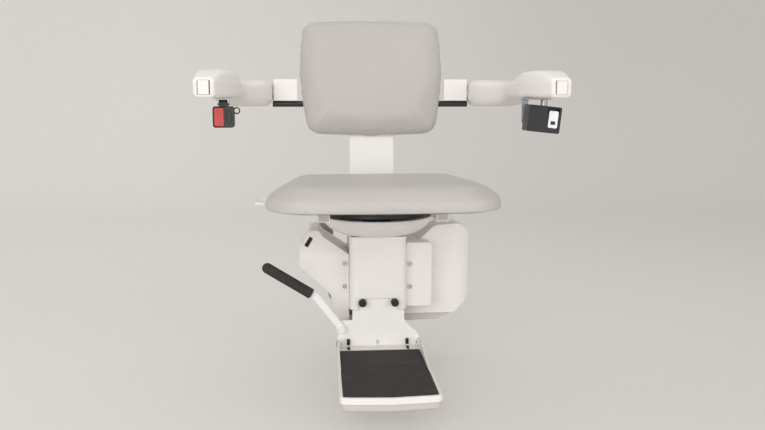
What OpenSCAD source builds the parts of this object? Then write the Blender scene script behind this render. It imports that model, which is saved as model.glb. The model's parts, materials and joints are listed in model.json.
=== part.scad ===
// Stairlift chair: the powered carriage that rides a two-tube rail, with its swivel seat,
// backrest, flip-up arms, lap belt and folding footrest.
// The origin is the centre of the rail between the four rollers. +X runs along the rail,
// +Y points to the wall, +Z is up, and a rider faces -Y.

/* [Layout] */
// Distance from the rail's centre forward to the swivel axis
swivel_reach = 186; // [182:1:190]
// Height of the collar's rim above the rail's centre
rim_rise = 150; // [148:1:154]
// Depth of the footrest's tread below the rail's centre
tread_drop = 150; // [146:1:156]
// Distance from the swivel axis to the front face of the column cover
column_reach = 60; // [58:1:62]
// Gap between pieces that lie against each other without touching
seat_gap = 0.3; // [0.2:0.1:0.5]
// Radial clearance of a pin that turns in its bore
turn_gap = 0.06; // [0.04:0.01:0.1]

/* [Seat] */
// Width of the seat cushion where it is widest
seat_w = 512; // [490:2:516]
// Depth of the seat cushion from front to back
seat_d = 400; // [380:2:410]
// Thickness of the seat cushion at its crown
seat_t = 43; // [38:1:46]
// Thickness of the board under the seat cushion
pan_t = 8; // [7:0.5:9]
// Width of the seat cushion at its back edge
seat_back_w = 430; // [400:2:440]
// Width of the seat cushion at its front edge
seat_front_w = 440; // [420:2:460]
// Distance from the rail's centre forward to the seat's back edge
seat_back_reach = 116; // [114:1:120]

/* [Backrest] */
// Width of the backrest where it is widest
back_w = 372; // [352:2:374]
// Height of the backrest
back_h = 304; // [280:2:316]
// Thickness of the backrest cushion at its crown
back_t = 36; // [30:1:37]
// Thickness of the shell behind the backrest cushion
back_shell_t = 9; // [7:0.5:10]
// Height of the backrest's lower edge above the rail's centre
back_rise = 316; // [312:1:324]
// Lean of the backrest and its post
back_lean = 10; // [8:1:12]
// Width of the back post
post_w = 112; // [100:1:120]

/* [Arms] */
// Half the distance between the inner faces of the arms at their pivots
arm_root = 246; // [243:1:248]
// Half the distance between the inner faces of the arms along their pads
arm_inner = 300; // [296:1:306]
// Width of an arm along its pad
arm_w = 78; // [74:1:80]
// Distance from an arm's pivot to its front end
arm_l = 445; // [420:5:460]
// Height of the arm pivots above the rail's centre
arm_rise = 432; // [430:1:436]
// Height of an arm at the top of its pad
arm_h = 57; // [54:1:60]

/* [Carriage] */
// Diameter of each rail tube that the rollers run on
rail_tube_d = 38; // [36:1:39]
// Distance between the centres of the two rail tubes
rail_tube_gap = 82; // [80:1:84]
// Distance between the upper roller axles along the rail
upper_pitch = 250; // [244:2:256]
// Distance between the lower roller axles along the rail
lower_pitch = 170; // [166:2:174]
// Diameter of a roller over its flanges
roller_d = 54; // [52:1:55]
// Width of a roller
roller_w = 34; // [33:1:36]
// Thickness of the chassis plate
chassis_t = 8; // [6:1:9]
// Width of the column cover
column_w = 130; // [128:1:132]
// Wall of the moulded covers
cover_wall = 3; // [2.5:0.5:3.5]
// Radius of the collar's rim round the swivel
collar_r = 133; // [130:1:134]
// Number of teeth on the drive pinion
pinion_teeth = 10; // [9:1:11]

/* [Footrest] */
// Length of the footrest's tread
tread_l = 330; // [300:2:332]
// Width of the footrest at its front edge
tread_w = 200; // [196:1:206]
// Thickness of the rubber mat
mat_t = 3; // [2:0.5:4]
// Diameter of the footrest's hinge pin
hinge_d = 6; // [5:0.5:7]
// Diameter of the lifting lever's grip
grip_d = 24; // [20:1:26]
// Length of the lifting lever's grip
grip_l = 128; // [120:2:136]

/* [Hidden] */
$fn = 48;
cut = 1;            // overrun of every cut past the face it starts from
arc_step = 15;      // degrees between the points of a rounded corner
white = "#e9e6e2";
warm_grey = "#c9c5bf";
black = "#2b2a29";
steel = "#9b9b9a";
red = "#b3261e";

// Rounded outlines: each point is [x, y, corner radius], and an outline runs anticlockwise
function fillet_arc(a, b, c, r) =
    let (u = (a - b) / norm(a - b), v = (c - b) / norm(c - b),
         half = acos(max(-1, min(1, u * v))) / 2,
         centre = b + (u + v) / norm(u + v) * r / sin(half),
         p = b + u * r / tan(half) - centre, q = b + v * r / tan(half) - centre,
         start = atan2(p.y, p.x), sweep = ((atan2(q.y, q.x) - start + 540) % 360) - 180,
         steps = max(2, ceil((180 - 2 * half) / arc_step)))
    [for (i = [0 : steps]) centre + r * [cos(start + sweep * i / steps), sin(start + sweep * i / steps)]];
function rounded(pts) = [for (i = [0 : len(pts) - 1])
    let (n = len(pts), a = pts[(i + n - 1) % n], b = pts[i], c = pts[(i + 1) % n])
    each b[2] <= 0 ? [[b.x, b.y]] : fillet_arc([a.x, a.y], [b.x, b.y], [c.x, c.y], b[2])];
function turn_left(v) = [-v.y, v.x];
function inset(pts, w) = [for (i = [0 : len(pts) - 1])
    let (n = len(pts), a = pts[(i + n - 1) % n], b = pts[i], c = pts[(i + 1) % n],
         e = [b.x - a.x, b.y - a.y], f = [c.x - b.x, c.y - b.y],
         m = turn_left(e) / norm(e), k = turn_left(f) / norm(f),
         p = [b.x, b.y] + (m + k) * w / (1 + m * k),
         bend = e.x * f.y - e.y * f.x)
    [p.x, p.y, b[2] <= 0 ? 0 : max(0.05, b[2] + (bend > 0 ? -w : w))]];
function mirrored(pts) = [for (i = [len(pts) - 1 : -1 : 0]) [-pts[i].x, pts[i].y, pts[i][2]]];
// Shares of a width, a height and a corner radius, laid from a starting corner
function shaped(shares, from, size, r) =
    [for (s = shares) [from.x + s.x * size.x, from.y + s.y * size.y, s[2] * r]];
box_shares = [[0, 0, 1], [1, 0, 1], [1, 1, 1], [0, 1, 1]];
function panel(low, high, r) = shaped(box_shares, low, high - low, r);

// Slabs between two places along one axis, from an outline in the other two
module along_y(outline, y0, y1) {
    translate([0, y1, 0]) rotate([90, 0, 0]) linear_extrude(y1 - y0) polygon(rounded(outline));
}
module along_x(outline, x0, x1) {
    translate([x0, 0, 0]) rotate([90, 0, 90]) linear_extrude(x1 - x0) polygon(rounded(outline));
}
module along_z(outline, z0, z1) {
    translate([0, 0, z0]) linear_extrude(z1 - z0) polygon(rounded(outline));
}
module block(low, high) {
    translate(low) cube(high - low);
}
module rod_x(r, x0, x1, y, z) {
    translate([x0, y, z]) rotate([0, 90, 0]) cylinder(r = r, h = x1 - x0);
}
module rod_y(r, y0, y1, x, z) {
    translate([x, y1, z]) rotate([90, 0, 0]) cylinder(r = r, h = y1 - y0);
}
module rod_z(r, z0, z1, x, y) {
    translate([x, y, z0]) cylinder(r = r, h = z1 - z0);
}
module both_ends() {
    children();
    mirror([1, 0, 0]) children();
}

// A closed skin over rings that all have the same number of points, run anticlockwise
module skin(rings) {
    n = len(rings[0]);
    m = len(rings);
    sides = [for (j = [0 : m - 2], i = [0 : n - 1]) let (k = (i + 1) % n, a = j * n, b = a + n)
        each [[a + i, b + k, a + k], [a + i, b + i, b + k]]];
    first_cap = [for (i = [1 : n - 2]) [0, i, i + 1]];
    last_cap = [for (i = [1 : n - 2]) let (t = (m - 1) * n) [t, t + i + 1, t + i]];
    polyhedron([for (r = rings) each r], concat(sides, first_cap, last_cap), convexity = 4);
}
// A padded form: one ring per profile step, each [distance in from the outline, height]
module pad(outline, profile) {
    skin([for (s = profile) [for (p = rounded(inset(outline, s[0]))) [p.x, p.y, s[1]]]]);
}
// Drawn-in foot, full side, edge roll and crown of a cushion of thickness t
function cushion_profile(t, roll, crown) = let (top = t - crown) [
    [0.45 * roll, 0], [0.1 * roll, 0.12 * top], [0, 0.32 * top], [0.06 * roll, 0.52 * top],
    [0.25 * roll, 0.76 * top], [0.55 * roll, 0.92 * top], [roll, top],
    [1.9 * roll, top + 0.42 * crown], [3.1 * roll, top + 0.78 * crown], [4.4 * roll, t]];

// Fore and aft places
swivel_y = -swivel_reach;
column_y = swivel_y - column_reach;
chassis_back = -42;
chassis_front = chassis_back - chassis_t;
cover_back = chassis_front - seat_gap;

// Swivel stack above and below the collar's rim
swivel_clear = 2;                               // rim to the turning plate
swivel_plate_t = 8;
plate_inset = 15;                               // swivel plate inside the collar's rim
swivel_plate_r = collar_r - plate_inset;
plate_z = rim_rise + swivel_clear;
frame_z = plate_z + swivel_plate_t;
frame_h = 26;
frame_top = frame_z + frame_h;
seat_lift = 4;                                  // frame top to the seat board
pan_z = frame_top + seat_lift;
seat_z = pan_z + pan_t;
collar_h = 45;
collar_z = rim_rise - collar_h;
column_drop = 5;
column_top = collar_z - column_drop;                      // top face of the column frame
post_r = 22;
post_flange_r = 46;
hub_r = 34;
index_r = 76;
index_t = 4;
washer_t = 2;
column_lid_t = 12;
index_z = column_top + column_lid_t;
washer_z = index_z + index_t;
hub_z = washer_z + washer_t + turn_gap;
cap_r = 30;
cap_t = 5;
lock_reach = 60;                                // swivel axis to the lock pin
lock_pin_r = 6;
lock_lift = 0.5;                                // drawn pin above the index plate
lock_y = swivel_y + lock_reach;
lock_boss_r = 12;
lock_boss_h = 24;
lock_step = 45;                                 // degrees between the seat's locked places

// Moulded covers: outlines seen from the front
column_half = column_w / 2;
side_x = column_half + seat_gap;
left_w = 117;
left_h = 218;
left_bottom = -108;
left_back_step = 46;                            // cover's front face behind the column cover's
left_front = column_y + left_back_step;
cover_r = 10;
left_shares = [[0, 0.75, 0.4], [0.5, 0.93, 1], [0.6, 1, 0.8], [0.785, 1, 1], [0.98, 0.82, 1.5],
    [1, 0.63, 2], [0.36, 0.31, 1.2], [0.335, 0, 0.5], [0, 0, 0.3]];
left_outline = shaped(left_shares, [-side_x, left_bottom], [-left_w, left_h], cover_r);
left_slope_z = 50;                              // where its front face starts to lean back
left_slope = 26;                                // how far the front face leans back at the top
left_top = left_bottom + left_h;
right_w = 167;
right_h = 219;
right_bottom = -96;
right_back_step = 76;
right_front = column_y + right_back_step;
right_shares = [[0, 0, 0.3], [0.74, 0, 2], [0.94, 0.14, 2], [1, 0.28, 3], [0.985, 0.85, 3],
    [0.83, 1, 3], [0.45, 0.985, 3], [0.22, 0.82, 1.5], [0, 0.82, 0.3]];
right_outline = shaped(right_shares, [side_x, right_bottom], [right_w, right_h], cover_r);
right_nose_r = 52;                              // plan rounding of the bulge
nose_w = 62;
nose_low = -67;
nose_high = 85;
nose_back_step = 31;
nose_front = column_y + nose_back_step;
nose_outline = panel([side_x, nose_low], [side_x + nose_w, nose_high], cover_r * 0.8);
right_top = right_bottom + right_h;
tray_low = -116;
tray_high = right_bottom - seat_gap;
tray_back_step = 86;
tray_front = column_y + tray_back_step;
tray_shares = [[0, 1, 0], [0, 0, 0.6], [0.57, 0, 2], [0.846, 0.15, 1.5], [0.99, 1, 0]];
tray_outline = shaped(tray_shares, [-column_half, tray_low],
    [column_half + side_x + 0.74 * right_w, tray_high - tray_low], cover_r);
column_low = -67;
column_corner = 16;
arch_half = 45;
arch_top = -40;

// Rollers, axles and drive
rail_r = rail_tube_d / 2;
groove_root_r = 19;
groove_clear = 0.5;
roller_z = rail_tube_gap / 2 + rail_r + groove_root_r;
axle_r = 6;
axle_washer_r = 11;
axle_head_r = 10;
axle_head_t = 6;
nut_t = 5;
axle_gap = 0.3;
pinion_module = 3;
pinion_w = 20;
rack_gap = 10;                                  // lower tube to the pinion's pitch circle
pinion_r = pinion_module * pinion_teeth / 2;
shaft_x = 18;
shaft_r = 8;
shaft_z = -rail_tube_gap / 2 - rail_r - rack_gap - pinion_r;
shaft_collar_r = 12;

// Places of the four rollers: [x, z]
upper_left = [-upper_pitch / 2, roller_z];
upper_right = [upper_pitch / 2, roller_z];
lower_left = [-lower_pitch / 2, -roller_z];
lower_right = [lower_pitch / 2, -roller_z];
roller_places = [upper_left, upper_right, lower_left, lower_right];

module chassis_plate() {
    lap = 1;
    color(steel) difference() {
        union() {
            along_y(inset(left_outline, lap), chassis_front, chassis_back);
            along_y(inset(right_outline, lap), chassis_front, chassis_back);
            block([-side_x - cover_wall, chassis_front, right_bottom + lap],
                [side_x + cover_wall, chassis_back, left_slope_z]);
        }
        for (p = roller_places)
            rod_y(axle_r + turn_gap, chassis_front - cut, chassis_back + cut, p.x, p.y);
        rod_y(shaft_collar_r + seat_gap, chassis_front - cut, chassis_back + cut, shaft_x, shaft_z);
    }
}

// Welded column: two side plates, a front plate and the top plate under the swivel post
frame_side_gap = 10;
frame_half = column_half - frame_side_gap;
frame_t = 5;
frame_front_gap = 5;
frame_front = column_y + cover_wall + frame_front_gap;
frame_low_gap = 2;
frame_low = column_low + frame_low_gap;
top_plate_t = 8;
side_hole_r = 26;
clamp_x = 37;
clamp_z = -47.5;
clamp_r = 4;
module column_frame() {
    color(steel) difference() {
        union() {
            both_ends() block([frame_half - frame_t, frame_front, frame_low],
                [frame_half, chassis_front, column_top]);
            block([-frame_half, frame_front, frame_low],
                [frame_half, frame_front + frame_t, column_top]);
            block([-frame_half, frame_front, column_top - top_plate_t],
                [frame_half, chassis_front, column_top]);
        }
        for (y = [frame_front / 2 + chassis_front / 2, chassis_front - side_hole_r * 1.6])
            rod_x(side_hole_r, -frame_half - cut, frame_half + cut, y, frame_low + side_hole_r * 3);
        for (x = [-clamp_x, clamp_x])
            rod_y(clamp_r + turn_gap, frame_front - cut, frame_front + frame_t + cut, x, clamp_z);
    }
}

// U-shaped cover round the column, with an arched lower edge in front
module column_cover() {
    outer = [[-column_half, column_y, column_corner], [column_half, column_y, column_corner],
        [column_half, cover_back, 0], [-column_half, cover_back, 0]];
    inner = [for (p = inset(outer, cover_wall)) [p.x, p.y > swivel_y ? cover_back + cut : p.y, p[2]]];
    color(white) difference() {
        along_z(outer, column_low, collar_z - seat_gap);
        along_z(inner, column_low - cut, collar_z);
        along_y(panel([-arch_half, column_low - column_corner], [arch_half, arch_top], column_corner / 2),
            column_y - cut, frame_front);
    }
}

// Bowl that hides the swivel bearing
bowl_shares = [[0, 0, 0], [0.51, 0, 0.2], [0.68, 0.09, 1], [0.81, 0.29, 1], [0.91, 0.56, 1],
    [0.97, 0.82, 1], [1, 1, 0], [0, 1, 0]];
bowl_outline = shaped(bowl_shares, [0, collar_z], [collar_r, collar_h], cover_r);
module collar() {
    color(white) translate([0, swivel_y, 0]) difference() {
        rotate_extrude($fn = 96) polygon(rounded(bowl_outline));
        for (lift = [0, cover_wall])
            translate([0, 0, lift]) rotate_extrude($fn = 96)
                polygon(rounded(inset(bowl_outline, cover_wall)));
        translate([0, 0, collar_z - cut])
            cylinder(r = post_flange_r + seat_gap, h = collar_h + cut);
    }
}

// Left cover: a slanted shell with a leaning face that holds the power switch
power_x = -side_x - 0.8 * left_w;
power_z = left_slope_z + (left_top - left_slope_z) * 0.58;
power_slant = 31;                               // degrees that it leans along the cover's edge
power_tilt = atan(left_slope / (left_top - left_slope_z));
power_y = left_front + (power_z - left_slope_z) * tan(power_tilt);
power_half_w = 4;
power_half_h = 11;
power_pivot = 3;                                // depth of its pivot behind the face
power_gap = 0.4;
power_swing_gap = 1.5;
power_depth = 7.8;
function leaning(wall) = [[left_front + wall, left_bottom - cut, 0],
    [left_front + wall, left_slope_z, 0],
    [left_front + wall + left_slope, left_top, 0],
    [left_front + wall + left_slope, left_top + cut, 0],
    [cover_back + (wall > 0 ? cut : 0), left_top + cut, 0],
    [cover_back + (wall > 0 ? cut : 0), left_bottom - cut, 0]];
module left_body(wall) {
    intersection() {
        along_y(inset(left_outline, wall), left_front - cut, cover_back + cut);
        mirror([1, 0, 0]) along_x([for (i = [5 : -1 : 0]) leaning(wall)[i]], 0, side_x + left_w + cut);
    }
}
screw_inset = 11;
screw_x = column_half + screw_inset;
screw_z = [-19, 35];
screw_r = 2.5;
screw_head_r = 5.5;
screw_head_t = 2.6;
module left_cover() {
    color(white) difference() {
        left_body(0);
        left_body(cover_wall);
        translate([power_x, power_y, power_z]) rotate([-power_tilt, 0, 0]) rotate([0, power_slant, 0])
            block([-power_half_w - power_gap, -cover_wall - cut, -power_half_h - power_swing_gap],
                [power_half_w + power_gap, power_depth + power_swing_gap, power_half_h + power_swing_gap]);
        for (z = screw_z)
            rod_y(screw_r + turn_gap, left_front - cut, left_front + cover_wall + cut, -screw_x, z);
    }
}

// Right cover: a rounded bulge over the batteries and a squarer nose beside the column
module right_body(wall) {
    plan = [[side_x, right_front, 0], [side_x + right_w, right_front, right_nose_r],
        [side_x + right_w, cover_back, 0], [side_x, cover_back, 0]];
    intersection() {
        along_y(inset(right_outline, wall), right_front - cut, cover_back + (wall > 0 ? cut : 0));
        along_z([for (p = inset(plan, wall))
            [p.x, p.y > swivel_y + right_nose_r ? cover_back + (wall > 0 ? cut : 0) : p.y, p[2]]],
            right_bottom - cut, right_top + cut);
    }
    along_y(inset(nose_outline, wall), nose_front + wall, cover_back + (wall > 0 ? cut : 0));
}
module right_cover() {
    color(white) difference() {
        right_body(0);
        right_body(cover_wall);
        for (z = screw_z)
            rod_y(screw_r + turn_gap, nose_front - cut, nose_front + cover_wall + cut, screw_x, z);
    }
}
module lower_tray() {
    color(warm_grey) difference() {
        along_y(tray_outline, tray_front, cover_back);
        for (lift = [0, cover_wall])
            translate([0, 0, lift])
                along_y(inset(tray_outline, cover_wall), tray_front + cover_wall, cover_back + cut);
    }
}

// Swivel bearing: the fixed post with its retaining cap, the index plate and the washer
module swivel_post() {
    color(steel) translate([0, swivel_y, 0]) {
        translate([0, 0, column_top]) cylinder(r = post_flange_r, h = index_z - column_top);
        translate([0, 0, column_top]) cylinder(r = post_r, h = frame_z + turn_gap + cap_t - column_top);
        translate([0, 0, frame_z + turn_gap]) cylinder(r = cap_r, h = cap_t);
    }
}
module thrust_washer() {
    color("#b08d57") translate([0, swivel_y, washer_z]) difference() {
        cylinder(r = hub_r, h = washer_t);
        translate([0, 0, -cut]) cylinder(r = post_r + turn_gap, h = washer_t + 2 * cut);
    }
}
module index_plate() {
    color(steel) translate([0, swivel_y, index_z]) difference() {
        cylinder(r = index_r, h = index_t, $fn = 96);
        translate([0, 0, -cut]) cylinder(r = post_r + turn_gap, h = index_t + 2 * cut);
        for (a = [0 : lock_step : 180])
            rotate(a) translate([lock_reach, 0, -cut])
                cylinder(r = lock_pin_r + seat_gap, h = index_t + 2 * cut);
    }
}

// Drive inside the column: worm gearbox on the chassis plate with an upright motor
gearbox_d = 90;
gearbox_front = chassis_front - gearbox_d;
gearbox_gap = 3;
gearbox_low = tray_low + cover_wall + gearbox_gap;
gearbox_high = frame_low - gearbox_gap;
gearbox_left_w = 50;                            // from the drive shaft to each side
gearbox_right_w = 26;
gearbox_left = shaft_x - gearbox_left_w;
gearbox_right = shaft_x + gearbox_right_w;
motor_offset = 30;
motor_stand_off = 50;
motor_x = shaft_x - motor_offset;
motor_y = chassis_front - motor_stand_off;
motor_r = 34;
motor_h = 118;
motor_cap_r = 24;
motor_cap_h = 16;
module gearbox() {
    flange_r = 20;
    color("#8d8f90") difference() {
        union() {
            along_y(panel([gearbox_left, gearbox_low], [gearbox_right, gearbox_high], cover_r),
                gearbox_front, chassis_front);
            rod_z(flange_r, gearbox_high - cut, gearbox_high + cover_wall, motor_x, motor_y);
            rod_y(flange_r, gearbox_front - cover_wall, gearbox_front, shaft_x, shaft_z);
        }
        rod_y(shaft_r + turn_gap, gearbox_front + cover_wall, chassis_front + cut, shaft_x, shaft_z);
    }
}
module motor() {
    fin = 2;
    fins = 5;
    base = gearbox_high + cover_wall;
    color(black) {
        rod_z(motor_r, base, base + motor_h, motor_x, motor_y);
        rod_z(motor_cap_r, base + motor_h, base + motor_h + motor_cap_h, motor_x, motor_y);
        for (i = [1 : fins])
            rod_z(motor_r + fin, base + i * motor_h / (fins + 1), base + i * motor_h / (fins + 1) + fin,
                motor_x, motor_y);
    }
}
module drive_shaft() {
    color(steel) {
        rod_y(shaft_r, gearbox_front + 2 * cover_wall, pinion_w / 2 + nut_t, shaft_x, shaft_z);
        rod_y(shaft_collar_r, chassis_front + seat_gap, -pinion_w / 2 - seat_gap, shaft_x, shaft_z);
    }
}
// Spur pinion that climbs the rail's rack: straight-flanked teeth on the root circle
module drive_pinion() {
    root_r = pinion_r - 1.25 * pinion_module;
    tip_r = pinion_r + pinion_module;
    root_half = 1.25 * pinion_module / 2 * PI / 2;
    tip_half = 0.55 * pinion_module / 2;
    color(steel) difference() {
        translate([shaft_x, pinion_w / 2, shaft_z]) rotate([90, 0, 0]) linear_extrude(pinion_w) union() {
            circle(r = root_r);
            for (i = [1 : pinion_teeth])
                rotate(i * 360 / pinion_teeth)
                    polygon([[0, -root_half], [root_r, -root_half], [tip_r, -tip_half],
                        [tip_r, tip_half], [root_r, root_half], [0, root_half]]);
        }
        rod_y(shaft_r + turn_gap, -pinion_w / 2 - cut, pinion_w / 2 + cut, shaft_x, shaft_z);
    }
}

// Batteries on a folded shelf behind the right cover
battery_w = 70;
battery_d = 88;
battery_h = 101;
battery_gap = 3;
battery_set_in = 13;
battery_x = side_x + battery_set_in;
battery_back = chassis_front - battery_gap;
shelf_z = -46;
shelf_t = 2;
terminal_r = 4;
terminal_h = 5;
module batteries() {
    for (i = [0, 1]) {
        x = battery_x + i * (battery_w + battery_gap);
        color(black) along_z(panel([x, battery_back - battery_d], [x + battery_w, battery_back], 3),
            shelf_z, shelf_z + battery_h);
        color("#b08d57") for (k = [0.25, 0.75])
            rod_z(terminal_r, shelf_z + battery_h, shelf_z + battery_h + terminal_h,
                x + k * battery_w, battery_back - battery_d / 4);
    }
}
module battery_shelf() {
    x1 = battery_x + 2 * battery_w + battery_gap;
    lip = 12;
    color(steel) {
        block([battery_x, battery_back - battery_d, shelf_z - shelf_t], [x1, chassis_front, shelf_z]);
        block([battery_x, chassis_front - shelf_t, shelf_z - lip], [x1, chassis_front, shelf_z - shelf_t]);
    }
}

// Control board on standoffs in the left cover
board_place = [[-93, 12], [-17, 57]];           // corners, from the column cover's side
board_low = board_place[0] - [side_x, 0];
board_high = board_place[1] - [side_x, 0];
board_t = 1.6;
standoff_h = 14;
standoff_r = 3;
module control_board() {
    face = chassis_front - standoff_h - board_t;
    inset_share = 0.1;
    size = board_high - board_low;
    color("#2f6b3c") along_y(panel(board_low, board_high, 2), face, face + board_t);
    color(steel) for (i = [inset_share, 1 - inset_share], k = [inset_share, 1 - inset_share])
        rod_y(standoff_r, face + board_t, chassis_front,
            board_low.x + i * size.x, board_low.y + k * size.y);
    color(steel) for (i = [0 : 5])
        block([board_low.x + (0.2 + i * 0.05) * size.x, face - standoff_h, board_low.y + 0.2 * size.y],
            [board_low.x + (0.225 + i * 0.05) * size.x, face, board_low.y + 0.8 * size.y]);
    color(black) for (k = [0.3, 0.7])
        rod_y(standoff_r * 2, face - standoff_h, face,
            board_low.x + 0.75 * size.x, board_low.y + k * size.y);
}
// Two sprung strips that meet the charging point on the rail
contact_x = -52;
contact_z = -94;
contact_half = 18;
contact_t = 12;
module charge_contacts() {
    color(black) along_y(panel([contact_x - contact_half, contact_z - contact_t / 2],
        [contact_x + contact_half, contact_z + contact_t / 2], 3), chassis_back, chassis_back + contact_t);
    color("#b08d57") for (s = [-1, 1])
        block([contact_x + s * contact_half / 2 - contact_t / 4, chassis_back + contact_t,
            contact_z - contact_t / 4],
            [contact_x + s * contact_half / 2 + contact_t / 4, chassis_back + 1.5 * contact_t,
            contact_z + contact_t / 4]);
}

// Grooved rollers on shouldered axles behind the chassis plate
module roller(p) {
    half = roller_w / 2;
    lip = 1.2;
    r = roller_d / 2;
    groove_r = rail_r + groove_clear;
    depth = r - groove_root_r;
    reach = acos((groove_r - depth) / groove_r);
    groove = [for (i = [0 : 6]) let (a = -reach + i * reach / 3)
        [groove_root_r + groove_r - groove_r * cos(a), groove_r * sin(a)]];
    profile = concat([[axle_r + turn_gap, -half], [r - lip, -half], [r, -half + lip]], groove,
        [[r, half - lip], [r - lip, half], [axle_r + turn_gap, half]]);
    color("#55565a") translate([p.x, 0, p.y]) rotate([90, 0, 0]) rotate_extrude() polygon(profile);
}
module roller_upper_left() { roller(upper_left); }
module roller_upper_right() { roller(upper_right); }
module roller_lower_left() { roller(lower_left); }
module roller_lower_right() { roller(lower_right); }
module roller_axles() {
    half = roller_w / 2;
    color(steel) for (p = roller_places) {
        rod_y(axle_r, chassis_front - axle_head_t, half + axle_gap + nut_t + axle_r / 2, p.x, p.y);
        rod_y(axle_washer_r, chassis_back, -half - axle_gap, p.x, p.y);
    }
}
module axle_hardware() {
    half = roller_w / 2;
    color(steel) for (p = roller_places, y = [chassis_front - nut_t, half + axle_gap])
        difference() {
            translate([p.x, y + nut_t, p.y]) rotate([90, 0, 0]) cylinder(r = axle_head_r, h = nut_t, $fn = 6);
            rod_y(axle_r + turn_gap, y - cut, y + nut_t + cut, p.x, p.y);
        }
}

module cover_screws() {
    for (side = [[-screw_x, left_front], [screw_x, nose_front]], z = screw_z)
        color("#c8c8c8") difference() {
            union() {
                rod_y(screw_head_r, side.y - screw_head_t, side.y, side.x, z);
                rod_y(screw_r, side.y - cut, side.y + 3 * cover_wall, side.x, z);
            }
            translate([side.x, side.y - screw_head_t / 2, z]) rotate([90, 0, 0])
                cylinder(r = screw_r, h = screw_head_t, $fn = 6);
        }
}
module power_rocker() {
    bulge = 2;
    w = power_half_h;
    color(black) translate([power_x, power_y, power_z]) rotate([-power_tilt, 0, 0]) rotate([0, power_slant, 0])
        along_x([[-bulge, -w, 1], [power_depth, -w + bulge, 0], [power_depth, w - bulge, 0], [-bulge, w, 1],
            [-bulge / 4, 0, 0]], -power_half_w, power_half_w);
}

// Footrest: a pressed bracket clamped to the column, with ears that carry the hinge pin
bracket_back = frame_front - seat_gap;
bracket_t = 4.4;
bracket_front = bracket_back - bracket_t;
hinge_out = 8;                                  // hinge before the column cover and above the tread
hinge_y = column_y - hinge_out;
hinge_z = -tread_drop + hinge_out;
bracket_half = 60;
shoulder_play = 1;
tongue_half_w = column_half - column_corner + shoulder_play; // the part behind the column cover
flare_inset = 5;
bracket_flare = tread_w / 2 - flare_inset;
bracket_lap = 17;                               // hidden part above the arch
bracket_high = arch_top + bracket_lap;
bracket_toe = 2;
bracket_low = -tread_drop - bracket_toe;
ear_r = 9;
lug_r = 7.5;                                    // bracket's lugs inside the footplate's ears
ear_t = 4;
ear_inset = 8;
ear_half = tread_w / 2 - ear_inset;                     // outer faces of the bracket's ears
slot_half = 4;
slot_places = [[-70, 20], [-2, 15], [66, 19]];   // place along X and height of each slot
knob_r = 9;
knob_t = 12;
lever_t = 5;
lever_clear = 1;
lever_back = column_y - lever_clear;
lever_front = lever_back - lever_t;
pivot_x = -84;
pivot_z = -108;
tab_reach = 14;                                 // bracket's tab round the lever's pivot
tab_rise = 18;
pivot_r = 5;
pressed_r = 4;
flare_side_h = 26;                              // height of the flared sides and of the slope above
neck_rise = 58;
flare_r = 20;
module footrest_bracket() {
    shoulder = column_low - seat_gap;
    small_r = pressed_r / 2;
    right = [[bracket_flare, bracket_low, pressed_r], [bracket_flare, bracket_low + flare_side_h, flare_r],
        [bracket_half, bracket_low + neck_rise, flare_r], [bracket_half, shoulder, small_r],
        [tongue_half_w, shoulder, small_r], [tongue_half_w, bracket_high, 1.5 * pressed_r]];
    outline = concat(right, mirrored(right));
    color(white) difference() {
        union() {
            along_y(outline, bracket_front, bracket_back);
            along_y(panel([pivot_x - tab_reach, pivot_z - tab_reach],
                [-bracket_half + tab_reach, pivot_z + tab_rise], tab_reach * 0.8), bracket_front, bracket_back);
            both_ends() along_x([[hinge_y - lug_r, hinge_z - lug_r, lug_r * 0.98],
                [bracket_front, hinge_z - lug_r, 0], [bracket_front, hinge_z + lug_r, 0],
                [hinge_y - lug_r, hinge_z + lug_r, lug_r * 0.98]], ear_half - ear_t, ear_half);
        }
        for (s = slot_places)
            along_y(panel([s.x - slot_half, bracket_low + slot_half], [s.x + slot_half, bracket_low + s.y],
                slot_half * 0.98), bracket_front - cut, bracket_back + cut);
        for (x = [-clamp_x, clamp_x])
            rod_y(clamp_r + turn_gap, bracket_front - cut, bracket_back + cut, x, clamp_z);
        rod_y(pivot_r + turn_gap, bracket_front - cut, bracket_back + cut, pivot_x, pivot_z);
        both_ends() rod_x(hinge_d / 2 + turn_gap, ear_half - ear_t - cut, ear_half + cut, hinge_y, hinge_z);
    }
}
module clamp_screws() {
    grips = 12;
    groove = 1.1;
    for (x = [-clamp_x, clamp_x]) color(black) difference() {
        union() {
            rod_y(knob_r, column_y - knob_t, column_y - seat_gap, x, clamp_z);
            rod_y(clamp_r, column_y - 2 * seat_gap, frame_front + 2 * frame_t, x, clamp_z);
        }
        for (i = [1 : grips])
            rod_y(groove, column_y - knob_t - cut, column_y - knob_t / 4,
                x + knob_r * cos(i * 360 / grips), clamp_z + knob_r * sin(i * 360 / grips));
    }
}
module footrest_pin() {
    head_t = 2;
    end = ear_half + seat_gap + ear_t;
    color(steel) {
        rod_x(hinge_d / 2, -end - head_t, end + head_t, hinge_y, hinge_z);
        both_ends() rod_x(hinge_d, end + turn_gap, end + head_t, hinge_y, hinge_z);
    }
}
module lever_pivot() {
    color(steel) {
        rod_y(pivot_r, lever_front - lever_t, bracket_back + turn_gap, pivot_x, pivot_z);
        rod_y(pivot_r * 1.5, lever_front - lever_t, lever_front - turn_gap, pivot_x, pivot_z);
        rod_y(pivot_r * 1.5, lever_back + turn_gap, bracket_front, pivot_x, pivot_z);
    }
}

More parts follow.
